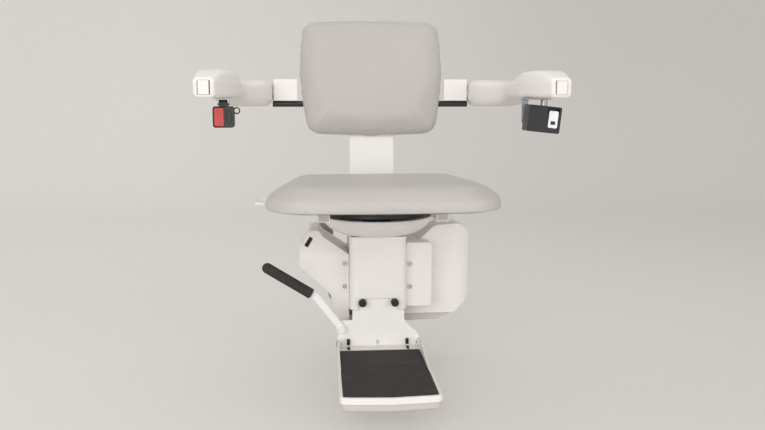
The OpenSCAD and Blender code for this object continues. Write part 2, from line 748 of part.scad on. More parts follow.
// Lifting lever: a cranked flat bar whose round tang runs inside the grip
lever_w = 16;
crank_reach = [-59, 77];
crank = [pivot_x, pivot_z] + crank_reach;
grip_angle = 148;                               // from +X, as the front view shows it
tang_r = 4;
tang_start = 12;
lever_y = (lever_front + lever_back) / 2;
function beside(p, angle, ahead, aside) =
    p + ahead * [cos(angle), sin(angle)] + aside * [-sin(angle), cos(angle)];
function bar_outline(a, b, angle, reach, w) = let(
        first = atan2(b.y - a.y, b.x - a.x),
        middle = (first + angle) / 2,
        miter = w / 2 / cos(middle - first),
        round_end = w * 0.49)
    [for (c = [[beside(a, first, -w / 2, -w / 2), round_end], [beside(b, middle, 0, -miter), w / 2],
            [beside(b, angle, reach, -w / 2), w / 4], [beside(b, angle, reach, w / 2), w / 4],
            [beside(b, middle, 0, miter), w / 2], [beside(a, first, -w / 2, w / 2), round_end]])
        [c[0].x, c[0].y, c[1]]];
module along_grip(r, from, to) {
    translate([crank.x, lever_y, crank.y]) rotate([0, 90 - grip_angle, 0])
        translate([0, 0, from]) cylinder(r = r, h = to - from);
}
module footrest_lever() {
    bar = bar_outline([pivot_x, pivot_z], crank, grip_angle, tang_start, lever_w);
    color(white) difference() {
        union() {
            along_y(bar, lever_front, lever_back);
            along_grip(tang_r, tang_start / 2, tang_start + grip_l - tang_r);
        }
        rod_y(pivot_r + turn_gap, lever_front - cut, lever_back + cut, pivot_x, pivot_z);
    }
}
module lever_grip() {
    r = grip_d / 2;
    start = tang_start + seat_gap;
    end = start + grip_l;
    color(black) difference() {
        union() {
            along_grip(r, start, end - r);
            translate([crank.x, lever_y, crank.y]) rotate([0, 90 - grip_angle, 0])
                translate([0, 0, end - r]) sphere(r = r);
        }
        along_grip(tang_r + turn_gap, start - cut, tang_start + grip_l - tang_r + turn_gap);
    }
}

// Footplate: a moulded tray with side ears at the hinge, the mat in it and the safety pan under it
mat_proud = 0.8;
plate_high = -tread_drop - mat_proud;
plate_skirt = 13;
plate_t = 4;
plate_low = plate_high - plate_skirt;
plate_rear_lap = 8;                             // plate behind the hinge
plate_rear = hinge_y + plate_rear_lap;
mat_rear_step = 28;                             // bare plate behind the mat
plate_border = 6;
plate_front = hinge_y - tread_l - plate_border;
plate_taper = 4;
plate_rear_w = tread_w - plate_taper;
plate_wall = 3;
plate_r = 12;
plate_bow = 15;                                 // front edge's middle before its corners
plate_bow_r = 500;
mat_margin = 7;
mat_front_w = tread_w - 2 * mat_margin;
mat_rear_w = plate_rear_w - 2 * mat_margin;
notch = 5;
pan_side_gap = 0.5;                             // skirt's inner face to the safety pan
safety_h = 17;
safety_wall = 2.5;
safety_travel = 3;
safety_stop_gap = 0.8;                          // left above the rim when the pan is pushed up
under_z = plate_high - mat_t - plate_t;
hanger_r = 3;
hanger_head_r = 6;
hanger_head_t = 2;
hanger_half = 9;
module plate_outline_slab(w, z0, z1, rear = plate_rear) {
    along_z(inset([[-tread_w / 2, plate_front + plate_bow, plate_r], [0, plate_front, plate_bow_r],
        [tread_w / 2, plate_front + plate_bow, plate_r], [plate_rear_w / 2, rear, plate_r],
        [-plate_rear_w / 2, rear, plate_r]], w), z0, z1);
}
hanger_inset = 8;
gusset_reach = 169;                             // side flange's front end and peak before the hinge
gusset_peak = 44;
gusset_rise = 12;                               // peak above the hinge
hanger_places = [for (x = [-1, 1], k = [0.12, 0.85])
    [x * (plate_rear_w / 2 - plate_wall - hanger_half - hanger_inset), plate_rear + k * (plate_front - plate_rear)]];
module footplate() {
    color(white) difference() {
        union() {
            difference() {
                plate_outline_slab(0, plate_low, plate_high);
                plate_outline_slab(plate_wall, plate_low - cut, under_z);
            }
            both_ends() along_x([[hinge_y - gusset_reach, plate_high - mat_t, 0],
                [hinge_y + ear_r, hinge_z - ear_r, ear_r * 0.98],
                [hinge_y + ear_r, hinge_z + ear_r, ear_r * 0.98],
                [hinge_y - gusset_peak, hinge_z + gusset_rise, ear_r],
                [hinge_y - gusset_reach, plate_high, 0]],
                ear_half + seat_gap, ear_half + seat_gap + ear_t);
            for (p = hanger_places) {
                rod_z(hanger_r, plate_low - safety_h / 2 - hanger_head_t, under_z + cut, p.x, p.y);
                rod_z(hanger_head_r, plate_low - safety_h / 2 - hanger_head_t, plate_low - safety_h / 2,
                    p.x, p.y);
            }
        }
        plate_outline_slab(mat_margin - seat_gap, plate_high - mat_t, plate_high + cut,
            plate_rear - mat_rear_step);
        both_ends() rod_x(hinge_d / 2 + turn_gap, ear_half - cut, ear_half + seat_gap + ear_t + cut,
            hinge_y, hinge_z);
    }
}
module foot_mat() {
    low = plate_high - mat_t;
    color(black) difference() {
        plate_outline_slab(mat_margin, low, -tread_drop, plate_rear - mat_rear_step);
        for (s = [-1, 1])
            rod_z(notch, low - cut, -tread_drop + cut, s * (mat_rear_w / 2 + notch * 0.4), hinge_y - gusset_reach);
    }
}
module safety_pan() {
    rim = under_z - safety_travel - safety_stop_gap;
    floor_z = plate_low - safety_h;
    shelf_low = plate_low - safety_h / 2 + seat_gap;
    margin = plate_wall + pan_side_gap;
    color("#8f8f8d") difference() {
        union() {
            difference() {
                plate_outline_slab(margin, floor_z, rim);
                plate_outline_slab(margin + safety_wall, floor_z + safety_wall, rim + cut);
            }
            for (p = hanger_places) {
                outward = [sign(p.x) * (plate_rear_w / 2 - margin - abs(p.x)), 0];
                along_z(panel([min(p.x - hanger_half, p.x + outward.x), p.y - hanger_half],
                    [max(p.x + hanger_half, p.x + outward.x), p.y + hanger_half], 2),
                    shelf_low, shelf_low + safety_wall);
            }
        }
        for (p = hanger_places)
            rod_z(hanger_r + pan_side_gap, shelf_low - cut, shelf_low + safety_wall + cut, p.x, p.y);
    }
}

// Turning plate with its hub round the post and the boss that guides the lock pin
module swivel_plate() {
    color(steel) difference() {
        union() {
            translate([0, swivel_y, plate_z]) cylinder(r = swivel_plate_r, h = swivel_plate_t, $fn = 96);
            rod_z(hub_r, hub_z, plate_z + swivel_plate_t / 2, 0, swivel_y);
            rod_z(lock_boss_r, plate_z - lock_boss_h, plate_z + swivel_plate_t / 2, 0, lock_y);
        }
        rod_z(post_r + turn_gap, hub_z - cut, frame_z + cut, 0, swivel_y);
        rod_z(lock_pin_r + turn_gap, plate_z - lock_boss_h - cut, frame_z + cut, 0, lock_y);
    }
}

// Seat frame: two box rails, cross bars on the turning plate and a sloped rear bar for the post
rail_x = 125;
rail_w = 26;
rail_t = 2.5;
rail_reach = 200;                               // frame's rails and bars from the swivel axis
front_bar_reach = 86;
rear_bar_reach = 94;
rail_front = swivel_y - rail_reach;
rail_back = -30;
bar_w = 32;
bar_h = 20;
front_bar_y = swivel_y - front_bar_reach;
rear_bar_y = swivel_y + rear_bar_reach;
rear_bar_w = 16;
bumper_r = 9;
seat_back_y = -seat_back_reach;
fold_set_back = 12;
fold_y = seat_back_y + fold_set_back;
fold_z = pan_z + pan_t / 2;
fold_pin_r = 4;
fold_ear_r = 8;
fold_ear_t = 4;
fold_tab_r = 7;
lever_rod_r = 5;
lever_rod_back = 24;                            // swivel lever's rod behind the lock pin and above the plate
lever_rod_up = 14;
lever_rod_y = lock_y + lever_rod_back;
lever_rod_z = frame_z + lever_rod_up;
bearing_x = 20;
bearing_t = 8;
// Back reference line: the shell's rear face, leaning through [back_y, back_rise]
back_y = -20;
function back_at(z) = back_y + (z - back_rise) * tan(back_lean);
module seat_frame() {
    half = rail_w / 2;
    inner = rail_x - half;
    color(steel) difference() {
        union() {
            both_ends() {
                block([inner, rail_front, frame_z], [rail_x + half, rail_back, frame_top]);
                for (x = [inner, rail_x + half - fold_ear_t])
                    along_x([[fold_y - fold_ear_r, frame_top - cut, 0], [fold_y + fold_ear_r, frame_top - cut, 0],
                        [fold_y + fold_ear_r, fold_z + fold_ear_r, fold_ear_r * 0.98],
                        [fold_y - fold_ear_r, fold_z + fold_ear_r, fold_ear_r * 0.98]], x, x + fold_ear_t);
                rod_z(bumper_r, frame_top - cut, pan_z - seat_gap, rail_x, rail_front + 2 * bumper_r);
            }
            block([-inner - cut, front_bar_y, frame_z], [inner + cut, front_bar_y + bar_w, frame_z + bar_h]);
            block([-inner - cut, rear_bar_y, frame_z], [inner + cut, rear_bar_y + rear_bar_w, frame_z + 8]);
            along_x([[back_at(frame_z) - rear_bar_w, frame_z, 0], [back_at(frame_z), frame_z, 0],
                [back_at(frame_top), frame_top, 0], [back_at(frame_z) - rear_bar_w, frame_top, 0]],
                -inner - cut, inner + cut);
            block([bearing_x, lever_rod_y - bearing_t, frame_z],
                [bearing_x + bearing_t, rear_bar_y + cut, frame_top]);
        }
        both_ends() {
            block([inner + rail_t, rail_front - cut, frame_z + rail_t],
                [rail_x + half - rail_t, rail_back + cut, frame_top - rail_t]);
            rod_x(fold_pin_r + turn_gap, inner - cut, rail_x + half + cut, fold_y, fold_z);
        }
        rod_x(lever_rod_r + turn_gap, -rail_x - half - cut, bearing_x + bearing_t + cut,
            lever_rod_y, lever_rod_z);
    }
}
module seat_pins() {
    half = rail_w / 2;
    color(steel) both_ends()
        rod_x(fold_pin_r, rail_x - half - fold_pin_r / 2, rail_x + half + fold_pin_r / 2, fold_y, fold_z);
}

// Back post: a folded channel whose flanges carry the arm tube
post_web = 3;
post_depth = 25;
post_fold_r = 4;
post_top = 190;                                 // above the backrest's lower edge, along the lean
tube_r = 7.5;
tube_drop = 28.5;                               // arm tube below the arms' pivots
tube_z = arm_rise - tube_drop;
tube_half = arm_root - seat_gap;
pivot_y = back_at(tube_z) + (post_web + seat_gap + tube_r) / cos(back_lean);
module leaning_frame() {
    translate([0, back_y, back_rise]) rotate([-back_lean, 0, 0]) children();
}
module back_post() {
    foot = (frame_z + cut - back_rise) / cos(back_lean);
    half = post_w / 2;
    color(white) difference() {
        leaning_frame() difference() {
            along_z([[-half, 0, post_fold_r], [half, 0, post_fold_r], [half, post_depth, 0], [-half, post_depth, 0]],
                foot, post_top);
            block([-half + post_web, post_web, foot - cut],
                [half - post_web, post_depth + cut, post_top + cut]);
        }
        block([-half - cut, back_at(frame_z) - rail_w, plate_z], [half + cut, post_depth, frame_z + seat_gap]);
        rod_x(tube_r + turn_gap, -half - cut, half + cut, pivot_y, tube_z);
    }
}

// Backrest: a dished shell with a padded front
back_corner = 38;
back_shares = [[0.44, 0.03, 1], [0.5, 0.54, 10], [0.47, 0.97, 1]];
back_half = [for (s = back_shares) [s[0] * back_w, s[1] * back_h, s[2] * back_corner]];
back_outline = concat([[0, 0, 22 * back_corner]], back_half, [[0, back_h, 22 * back_corner]],
    mirrored(back_half));
back_margin = 5;
back_roll = 11;
back_crown = 12;
module back_shell() {
    rim = 3;
    color(warm_grey) leaning_frame() {
        along_y(inset(back_outline, back_margin + rim), -rim, 0);
        along_y(inset(back_outline, back_margin), -back_shell_t, -rim);
    }
}
module back_cushion() {
    color(warm_grey) leaning_frame() translate([0, -back_shell_t, 0]) rotate([90, 0, 0])
        pad(back_outline, cushion_profile(back_t, back_roll, back_crown));
}

// Arm tube through the post, plates that stand on it and the pins that the arms turn on
plate_inner = 186;
arm_plate_t = 6;
arm_plate_h = 61;
arm_plate_r = 12;
arm_plate_top = tube_z + arm_plate_h;
arm_boss_r = 13;
arm_pin_r = 6;
arm_pin_in = 46;                                // how far the pin reaches into the arm
module arm_tube() {
    wall = 2;
    color(black) difference() {
        rod_x(tube_r, -tube_half, tube_half, pivot_y, tube_z);
        rod_x(tube_r - wall, -tube_half - cut, tube_half + cut, pivot_y, tube_z);
    }
}
module arm_brackets() {
    color(white) both_ends() difference() {
        union() {
            along_y([[plate_inner, tube_z, 0], [tube_half, tube_z, 0], [tube_half, arm_plate_top, arm_plate_r],
                [plate_inner, arm_plate_top, arm_plate_r]], pivot_y - arm_plate_t / 2, pivot_y + arm_plate_t / 2);
            rod_x(arm_boss_r, tube_half - 2 * arm_boss_r, arm_root - seat_gap, pivot_y, arm_rise);
        }
        rod_x(tube_r + turn_gap, plate_inner - cut, tube_half + cut, pivot_y, tube_z);
        rod_x(arm_pin_r + turn_gap, tube_half - 2 * arm_boss_r - cut, arm_root + cut, pivot_y, arm_rise);
        rod_x(arm_pin_r * 1.5 + turn_gap, plate_inner - cut, tube_half - 2 * arm_boss_r, pivot_y, arm_rise);
    }
}
module arm_pins() {
    color(steel) both_ends() {
        rod_x(arm_pin_r, tube_half - 2 * arm_boss_r - arm_pin_r, arm_root + arm_pin_in, pivot_y, arm_rise);
        rod_x(arm_pin_r * 1.5, tube_half - 2 * arm_boss_r - arm_pin_r, tube_half - 2 * arm_boss_r,
            pivot_y, arm_rise);
    }
}

// Swivel lever: a rod through the left rail with a paddle outside and the finger under the lock pin
paddle_x = -284;
paddle_w = 28;
paddle_t = 5;
paddle_reach = 70;
finger_reach = 34;
finger_half = 9;
finger_t = 5;
lift_play = 2;                                  // lock pin's head above the finger when drawn
lock_head_r = 9;
lock_head_t = 4;
module swivel_lever() {
    low = lever_rod_z - paddle_t / 2;
    color("#d9d7d3") difference() {
        union() {
            rod_x(lever_rod_r, paddle_x + paddle_w / 2, bearing_x + bearing_t + lever_rod_r,
                lever_rod_y, lever_rod_z);
            along_z(panel([paddle_x, lever_rod_y - paddle_reach],
                [paddle_x + paddle_w, lever_rod_y + 2 * lever_rod_r], paddle_w / 3), low, low + paddle_t);
            along_z(panel([-finger_half, lever_rod_y - finger_reach],
                [finger_half, lever_rod_y], 2), lever_rod_z - finger_t / 2, lever_rod_z + finger_t / 2);
            rod_x(2 * lever_rod_r * 0.8, -finger_half, finger_half, lever_rod_y, lever_rod_z);
        }
        block([-lock_pin_r - lift_play * 0.75, lever_rod_y - finger_reach - cut, frame_z],
            [lock_pin_r + lift_play * 0.75, lock_y + lock_head_r + lift_play, frame_top]);
    }
}
module lock_pin() {
    head = lever_rod_z + finger_t / 2 + lift_play;
    color(steel) {
        rod_z(lock_pin_r, washer_z + lock_lift, head + lock_head_t, 0, lock_y);
        rod_z(lock_head_r, head, head + lock_head_t, 0, lock_y);
    }
}

// Seat: a board with rear hinge tabs, and the cushion on it
seat_corner = 60;
seat_shares = [[0.5, 0.02, 1.65], [0.5, 0.27, 2], [0.5, 1, 1]];
seat_widths = [seat_front_w, seat_w, seat_back_w];
seat_half = [for (i = [0 : 2])
    [seat_shares[i][0] * seat_widths[i], seat_back_y - seat_d + seat_shares[i][1] * seat_d,
    seat_shares[i][2] * seat_corner]];
seat_outline = concat([[0, seat_back_y - seat_d, 15 * seat_corner]], seat_half, mirrored(seat_half));
seat_roll = 14;
seat_crown = 16;
pan_margin = 25;
module seat_pan() {
    half = rail_w / 2;
    tab_in = rail_x - half + fold_ear_t + seat_gap;
    tab_out = rail_x + half - fold_ear_t - seat_gap;
    color(black) difference() {
        union() {
            along_z(inset(seat_outline, pan_margin), pan_z, seat_z);
            both_ends() {
                rod_x(fold_tab_r, tab_in, tab_out, fold_y, fold_z);
                block([tab_in, seat_back_y - 2 * pan_margin, pan_z], [tab_out, fold_y, seat_z]);
            }
        }
        both_ends() rod_x(fold_pin_r + turn_gap, tab_in - cut, tab_out + cut, fold_y, fold_z);
    }
}
module seat_cushion() {
    color(warm_grey) translate([0, 0, seat_z])
        pad(seat_outline, cushion_profile(seat_t, seat_roll, seat_crown));
}

// Arms: rounded sections swept from the pivot to the front, parted level along their length
arm_tail = 22;                                  // arm behind its pivot
arm_part_up = 16;                               // parting line above the pivots
arm_rear_sink = 34;
arm_front_sink = 15;
arm_back = pivot_y + arm_tail;
arm_front = pivot_y - arm_l;
arm_parting = arm_rise + arm_part_up;
arm_rear_h = 64;
arm_rear_dip = 8;                               // how far the waist's top lies below the rear end's
arm_nose_h = 41;                                // front end's face
arm_rear_low = arm_rise - arm_rear_sink;
arm_front_low = arm_rise - arm_front_sink;
arm_root_w = 66;
arm_corner = 10;
arm_rear_corner = 20;
nose_slant = 36;                                // inner side's slant towards the front end
sweep_start = -50;                              // where the arm starts to widen from its pivot
sweep_end = -160;
rise_start = -90;                               // where the arm starts to rise to its pad
rise_end = -190;
pad_start = -190;                               // where the pad's hump starts and is full
pad_end = -340;
nose_start = -385;                              // where the hump falls to the front end
slant_start = -320;
end_round = 20;
nose_round = 5;
function ease(t) = let (c = max(0, min(1, t))) c * c * (3 - 2 * c);
function blend(a, b, from, to, y) = a + (b - a) * ease((y - from) / (to - from));
function end_inset(y) = max(
    y > arm_back - end_round ? end_round * (1 - sqrt(max(0, 1 - pow((y - arm_back + end_round) / end_round, 2)))) : 0,
    y < arm_front + nose_round
        ? nose_round * (1 - sqrt(max(0, 1 - pow((arm_front + nose_round - y) / nose_round, 2)))) : 0);
arm_shares = [0, 0.06, 0.3, 0.65, 1];
arm_middle_shares = [0, 0.1, 0.2, 0.28, 0.36, 0.45, 0.54, 0.63, 0.72, 0.8, 0.86, 0.92, 0.96, 1];
arm_stations = concat([for (s = arm_shares) arm_back - end_round * s * 0.99],
    [for (s = arm_middle_shares) sweep_start + s * (arm_front + nose_round - sweep_start)],
    [arm_front + nose_round / 3, arm_front]);
function past(from, to, y) = max(0, min(1, (y - from) / (to - from)));
function arm_ring(y) =
    let (in = blend(arm_root, arm_inner, sweep_start, sweep_end, y) + nose_slant * past(slant_start, arm_front, y),
         out = blend(arm_root + arm_root_w, arm_inner + arm_w, arm_back, sweep_end, y),
         low = blend(arm_rear_low, arm_front_low, rise_start, rise_end, y),
         high = blend(arm_rear_low + arm_rear_h, arm_rear_low + arm_rear_h - arm_rear_dip, sweep_start, sweep_end, y)
             + (arm_front_low + arm_h - arm_rear_low - arm_rear_h + arm_rear_dip) * ease(past(pad_start, pad_end, y))
             - (arm_h - arm_nose_h) * ease(past(nose_start, arm_front, y)),
         e = end_inset(y) * 0.92,
         r = blend(arm_rear_corner, arm_corner, sweep_start, nose_start, y))
    [for (p = rounded(panel([in + e, low + e], [out - e, high - e], max(1, r - e * 0.5))))
        [p.x, y, p.y]];
rocker_x = (arm_inner + nose_slant + arm_inner + arm_w) / 2;
rocker_half_w = 11;
rocker_half_h = 14;
rocker_z = arm_front_low + arm_nose_h / 2;
rocker_out = 2.5;                               // how far the rocker stands out of the arm's end
rocker_depth = 14;
rocker_swing_gap = 1.6;
rocker_pivot = 6;                               // depth of its pivot behind the arm's end
module arm_body() {
    difference() {
        skin([for (y = arm_stations) arm_ring(y)]);
        rod_x(arm_pin_r + turn_gap, arm_root - cut, arm_root + arm_pin_in + seat_gap, pivot_y, arm_rise);
        along_y(panel([rocker_x - rocker_half_w - rocker_swing_gap, rocker_z - rocker_half_h - power_gap],
            [rocker_x + rocker_half_w + rocker_swing_gap, rocker_z + rocker_half_h + power_gap], 2),
            arm_front - cut, arm_front + rocker_depth + 2 * rocker_swing_gap);
    }
}
module arm_top() {
    color(white) intersection() {
        arm_body();
        block([0, arm_front - cut, arm_parting], [2 * arm_inner, arm_back + cut, 2 * arm_rise]);
    }
}
module arm_base() {
    color(warm_grey) intersection() {
        arm_body();
        block([0, arm_front - cut, 0], [2 * arm_inner, arm_back + cut, arm_parting]);
    }
}
module arm_right_top() { arm_top(); }
module arm_right_base() { arm_base(); }
module arm_left_top() { mirror([1, 0, 0]) arm_top(); }
module arm_left_base() { mirror([1, 0, 0]) arm_base(); }
module rocker(x) {
    face = arm_front - rocker_out;
    taper = 2;
    w = rocker_half_w;
    color(warm_grey) along_z([[x - w, face, 1.5], [x, face + rocker_out / 3, 0], [x + w, face, 1.5],
        [x + w - taper, arm_front + rocker_depth, 0], [x - w + taper, arm_front + rocker_depth, 0]],
        rocker_z - rocker_half_h, rocker_z + rocker_half_h);
}
module rocker_right() { rocker(rocker_x); }
module rocker_left() { rocker(-rocker_x); }

// Lap belt: a buckle hung under the left arm, a reel under the right arm
belt_set_back = 92;                             // belt parts behind the arm's front end
buckle_inset = 29;
hang_drop = 9;
hang_neck = 2;
belt_y = arm_front + belt_set_back;
belt_top = arm_front_low - seat_gap;
buckle_x = -arm_inner - buckle_inset;
buckle_half = 22;
buckle_t = 18;
buckle_h = 44;
buckle_r = 6;
slot_set_back = 3;
hang_r = 3;
hang_z = belt_top - hang_drop;
hang_ear_r = 5.5;
hang_ear_t = 3;
hang_half = 9;
buckle_top = hang_z - hang_ear_r - hang_neck;
tongue_slot = 5;
slot_half_w = 13;
button_half = 10;
button_margin = 3;                              // buckle's rim round the button
button_x = buckle_x - buckle_half + button_margin + button_half;
button_low = buckle_top - buckle_h + button_margin;
button_h = buckle_h - 2 * button_margin;
hollow_r = 4.9;                                 // oval hollow beside the button
hollow_half_h = 13;
hollow_d = 1.2;
hollow_x = buckle_x + buckle_half / 2;
button_travel = 3;
module buckle_hanger() {
    color(steel) {
        block([buckle_x - hang_half - 2 * hang_ear_t, belt_y - hang_ear_r, belt_top - hang_ear_t],
            [buckle_x + hang_half + 2 * hang_ear_t, belt_y + hang_ear_r, belt_top]);
        for (x = [buckle_x - hang_half - hang_ear_t, buckle_x + hang_half])
            along_x([[belt_y - hang_ear_r, hang_z - hang_ear_r, hang_ear_r * 0.98],
                [belt_y + hang_ear_r, hang_z - hang_ear_r, hang_ear_r * 0.98],
                [belt_y + hang_ear_r, belt_top - hang_ear_t / 2, 0],
                [belt_y - hang_ear_r, belt_top - hang_ear_t / 2, 0]], x, x + hang_ear_t);
        rod_x(hang_r, buckle_x - hang_half - cut, buckle_x + hang_half + cut, belt_y, hang_z);
    }
}
module buckle() {
    front = belt_y - buckle_t / 2;
    low = buckle_top - buckle_h;
    ring_r = 6;
    ring_t = 1.3;
    color(black) difference() {
        union() {
            along_y(panel([buckle_x - buckle_half, low], [buckle_x + buckle_half, buckle_top], buckle_r),
                front, front + buckle_t);
            along_x([[belt_y - hang_ear_r, buckle_top - cut, 0], [belt_y + hang_ear_r, buckle_top - cut, 0],
                [belt_y + hang_ear_r, hang_z + hang_ear_r, hang_ear_r * 0.98],
                [belt_y - hang_ear_r, hang_z + hang_ear_r, hang_ear_r * 0.98]],
                buckle_x - hang_half + seat_gap, buckle_x + hang_half - seat_gap);
        }
        rod_x(hang_r + turn_gap, buckle_x - hang_half, buckle_x + hang_half, belt_y, hang_z);
        block([buckle_x - slot_half_w, belt_y - tongue_slot / 2 + slot_set_back, low - cut],
            [buckle_x + slot_half_w, belt_y + tongue_slot / 2 + slot_set_back, low + buckle_h * 0.6]);
        block([button_x - button_half - power_gap, front - cut, button_low - power_gap],
            [button_x + button_half + power_gap, front + 2 * button_travel, button_low + button_h + power_gap]);
        along_y(panel([hollow_x - hollow_r / 0.98, low + buckle_h / 2 - hollow_half_h],
            [hollow_x + hollow_r / 0.98, low + buckle_h / 2 + hollow_half_h], hollow_r), front - cut, front + hollow_d);
    }
    color(steel) translate([buckle_x + buckle_half + ring_r - ring_t, belt_y, buckle_top - ring_r * 1.5])
        rotate([90, 0, 0]) rotate_extrude() translate([ring_r, 0]) circle(r = ring_t, $fn = 16);
}
module buckle_button() {
    front = belt_y - buckle_t / 2;
    color(red) along_y(panel([button_x - button_half, button_low],
        [button_x + button_half, button_low + button_h], 2),
        front - turn_gap, front + button_travel - power_gap);
}
reel_inset = 43;
reel_drop = 16;
reel_lean = 6;                                  // degrees that the reel hangs out of level
reel_corner = 4;
reel_x = arm_inner + reel_inset;
reel_half = 35.5;
reel_h = 56;
reel_t = 42;
reel_top = belt_top - reel_drop;
reel_mid = reel_top - reel_h / 2;
strap_lap = 4;                                  // strap behind the reel's edge
strap_x = reel_x - reel_half + strap_lap;
strap_half = 7;
strap_t = 3;
strap_h = 52;
strap_low = belt_top - strap_h;
tongue_half = 10;
tongue_t = 2.5;
tongue_drop = 9;
tongue_z = reel_top - tongue_drop;
tongue_h = 36;
tongue_shift = 18;
tongue_x = reel_x + tongue_shift;
tongue_r = 2.5;
module leaning_reel() {
    translate([reel_x, 0, reel_mid]) rotate([0, reel_lean, 0]) translate([-reel_x, 0, -reel_mid]) children();
}
module belt_bracket() {
    back = belt_y + reel_t / 2 + seat_gap;
    color(steel) difference() {
        union() {
            block([strap_x - strap_half, belt_y - reel_t / 4, belt_top - strap_t],
                [reel_x + reel_half / 2, back + strap_t, belt_top]);
            along_y(panel([strap_x - strap_half, strap_low], [strap_x + strap_half, belt_top], 1),
                back, back + strap_t);
            leaning_reel() rod_z(strap_half, reel_top, belt_top - strap_t / 2, reel_x, belt_y);
        }
        rod_y(strap_half / 2, back - cut, back + strap_t + cut, strap_x, strap_low + strap_half * 1.6);
    }
}
module retractor() {
    front = belt_y - reel_t / 2;
    color(black) leaning_reel() difference() {
        along_y(panel([reel_x - reel_half, reel_top - reel_h], [reel_x + reel_half, reel_top], reel_corner),
            front, front + reel_t);
        block([tongue_x - tongue_half * 1.3, front - cut, tongue_z - tongue_r * 2],
            [tongue_x + tongue_half * 1.3, front + 4 * tongue_r, tongue_z + tongue_r * 2]);
    }
}
module belt_tongue() {
    y = belt_y - reel_t / 2 - seat_gap;
    leaning_reel() {
        color("#c8c8c8") difference() {
            along_y(panel([tongue_x - tongue_half, tongue_z - tongue_h], [tongue_x + tongue_half, tongue_z], 3),
                y - tongue_t, y);
            along_y(panel([tongue_x - tongue_half / 2, tongue_z - tongue_h * 0.8],
                [tongue_x + tongue_half / 2, tongue_z - tongue_h * 0.6], 1), y - tongue_t - cut, y + cut);
        }
        color(black) block([tongue_x - tongue_half, y - cut / 2, tongue_z - tongue_r],
            [tongue_x + tongue_half, y + tongue_t + seat_gap, tongue_z - tongue_r / 4]);
    }
}

chassis_plate();
column_frame();
column_cover();
collar();
left_cover();
right_cover();
lower_tray();
swivel_post();
thrust_washer();
index_plate();
gearbox();
motor();
batteries();
battery_shelf();
control_board();
charge_contacts();
roller_axles();
axle_hardware();
cover_screws();
footrest_bracket();
clamp_screws();
footrest_pin();
lever_pivot();
power_rocker();
roller_upper_left();
roller_upper_right();
roller_lower_left();
roller_lower_right();
drive_shaft();
drive_pinion();
footplate();
foot_mat();
safety_pan();
footrest_lever();
lever_grip();
swivel_plate();
seat_frame();
back_post();
back_shell();
back_cushion();
arm_tube();
arm_brackets();
arm_pins();
seat_pins();
swivel_lever();
lock_pin();
seat_pan();
seat_cushion();
arm_left_top();
arm_left_base();
arm_right_top();
arm_right_base();
rocker_left();
rocker_right();
buckle_hanger();
buckle();
buckle_button();
belt_bracket();
retractor();
belt_tongue();
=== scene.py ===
import json
import math

import bmesh
import bpy
from bpy.props import FloatProperty, FloatVectorProperty, PointerProperty
from mathutils import Matrix, Vector


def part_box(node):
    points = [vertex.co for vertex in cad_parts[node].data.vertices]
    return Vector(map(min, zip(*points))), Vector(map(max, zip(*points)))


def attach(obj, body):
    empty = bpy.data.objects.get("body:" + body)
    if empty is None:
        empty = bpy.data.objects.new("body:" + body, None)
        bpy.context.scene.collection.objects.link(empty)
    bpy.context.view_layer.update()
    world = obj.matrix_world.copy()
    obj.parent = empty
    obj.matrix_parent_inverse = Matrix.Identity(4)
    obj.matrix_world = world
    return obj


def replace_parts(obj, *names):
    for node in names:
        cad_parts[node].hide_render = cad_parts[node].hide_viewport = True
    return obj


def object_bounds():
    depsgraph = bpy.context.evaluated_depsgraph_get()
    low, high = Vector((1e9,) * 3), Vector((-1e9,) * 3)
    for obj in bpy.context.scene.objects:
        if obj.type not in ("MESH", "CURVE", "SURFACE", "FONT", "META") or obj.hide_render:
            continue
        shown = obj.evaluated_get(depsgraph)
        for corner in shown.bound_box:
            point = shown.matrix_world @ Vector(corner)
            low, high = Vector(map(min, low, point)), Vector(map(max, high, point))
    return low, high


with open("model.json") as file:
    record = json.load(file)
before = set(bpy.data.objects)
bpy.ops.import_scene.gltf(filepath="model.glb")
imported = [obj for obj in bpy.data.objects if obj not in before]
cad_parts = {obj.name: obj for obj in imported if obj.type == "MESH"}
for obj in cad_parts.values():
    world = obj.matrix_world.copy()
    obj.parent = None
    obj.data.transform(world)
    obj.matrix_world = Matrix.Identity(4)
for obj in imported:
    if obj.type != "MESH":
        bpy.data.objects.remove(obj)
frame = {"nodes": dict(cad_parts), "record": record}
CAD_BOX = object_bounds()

bl_info = {
    "name": "Stairlift Chair",
    "version": (1, 0, 0),
    "blender": (4, 5, 0),
    "location": "View3D > Sidebar > Chair",
    "description": "Finishes a folding stairlift chair and sets its studio stage",
    "category": "Object",
}

MM = 0.001
WELD = 0.002 * MM
FLAT = math.radians(0.4)
EVERY_AXIS = {"use_axis_x": True, "use_axis_y": True, "use_axis_z": True}


def colour(name, description, default):
    """A colour setting, in the linear values that a shader takes."""
    return FloatVectorProperty(name=name, description=description, default=default,
                               size=3, min=0.0, max=1.0, subtype="COLOR")


def length(name, description, default, low=0.0, high=1.0):
    """A length setting in metres."""
    return FloatProperty(name=name, description=description, default=default,
                         min=low, max=high, unit="LENGTH", subtype="DISTANCE")


class ChairColours(bpy.types.PropertyGroup):
    """Colours of the chair's finishes."""

    shell: colour("Moulded shell", "Covers and arms", (0.86, 0.82, 0.79))
    vinyl: colour("Vinyl", "Seat and backrest", (0.520, 0.492, 0.468))
    paint: colour("Powder coat", "White metalwork", (0.90, 0.87, 0.845))
    dark_paint: colour("Dark paint", "Tube and swivel plate", (0.022, 0.022, 0.022))
    pan: colour("Grey moulding", "Footrest's under-pan and lower tray", (0.60, 0.56, 0.52))
    mat: colour("Tread", "Footrest's mat", (0.034, 0.032, 0.032))
    button: colour("Release button", "Belt's push button", (0.50, 0.035, 0.025))


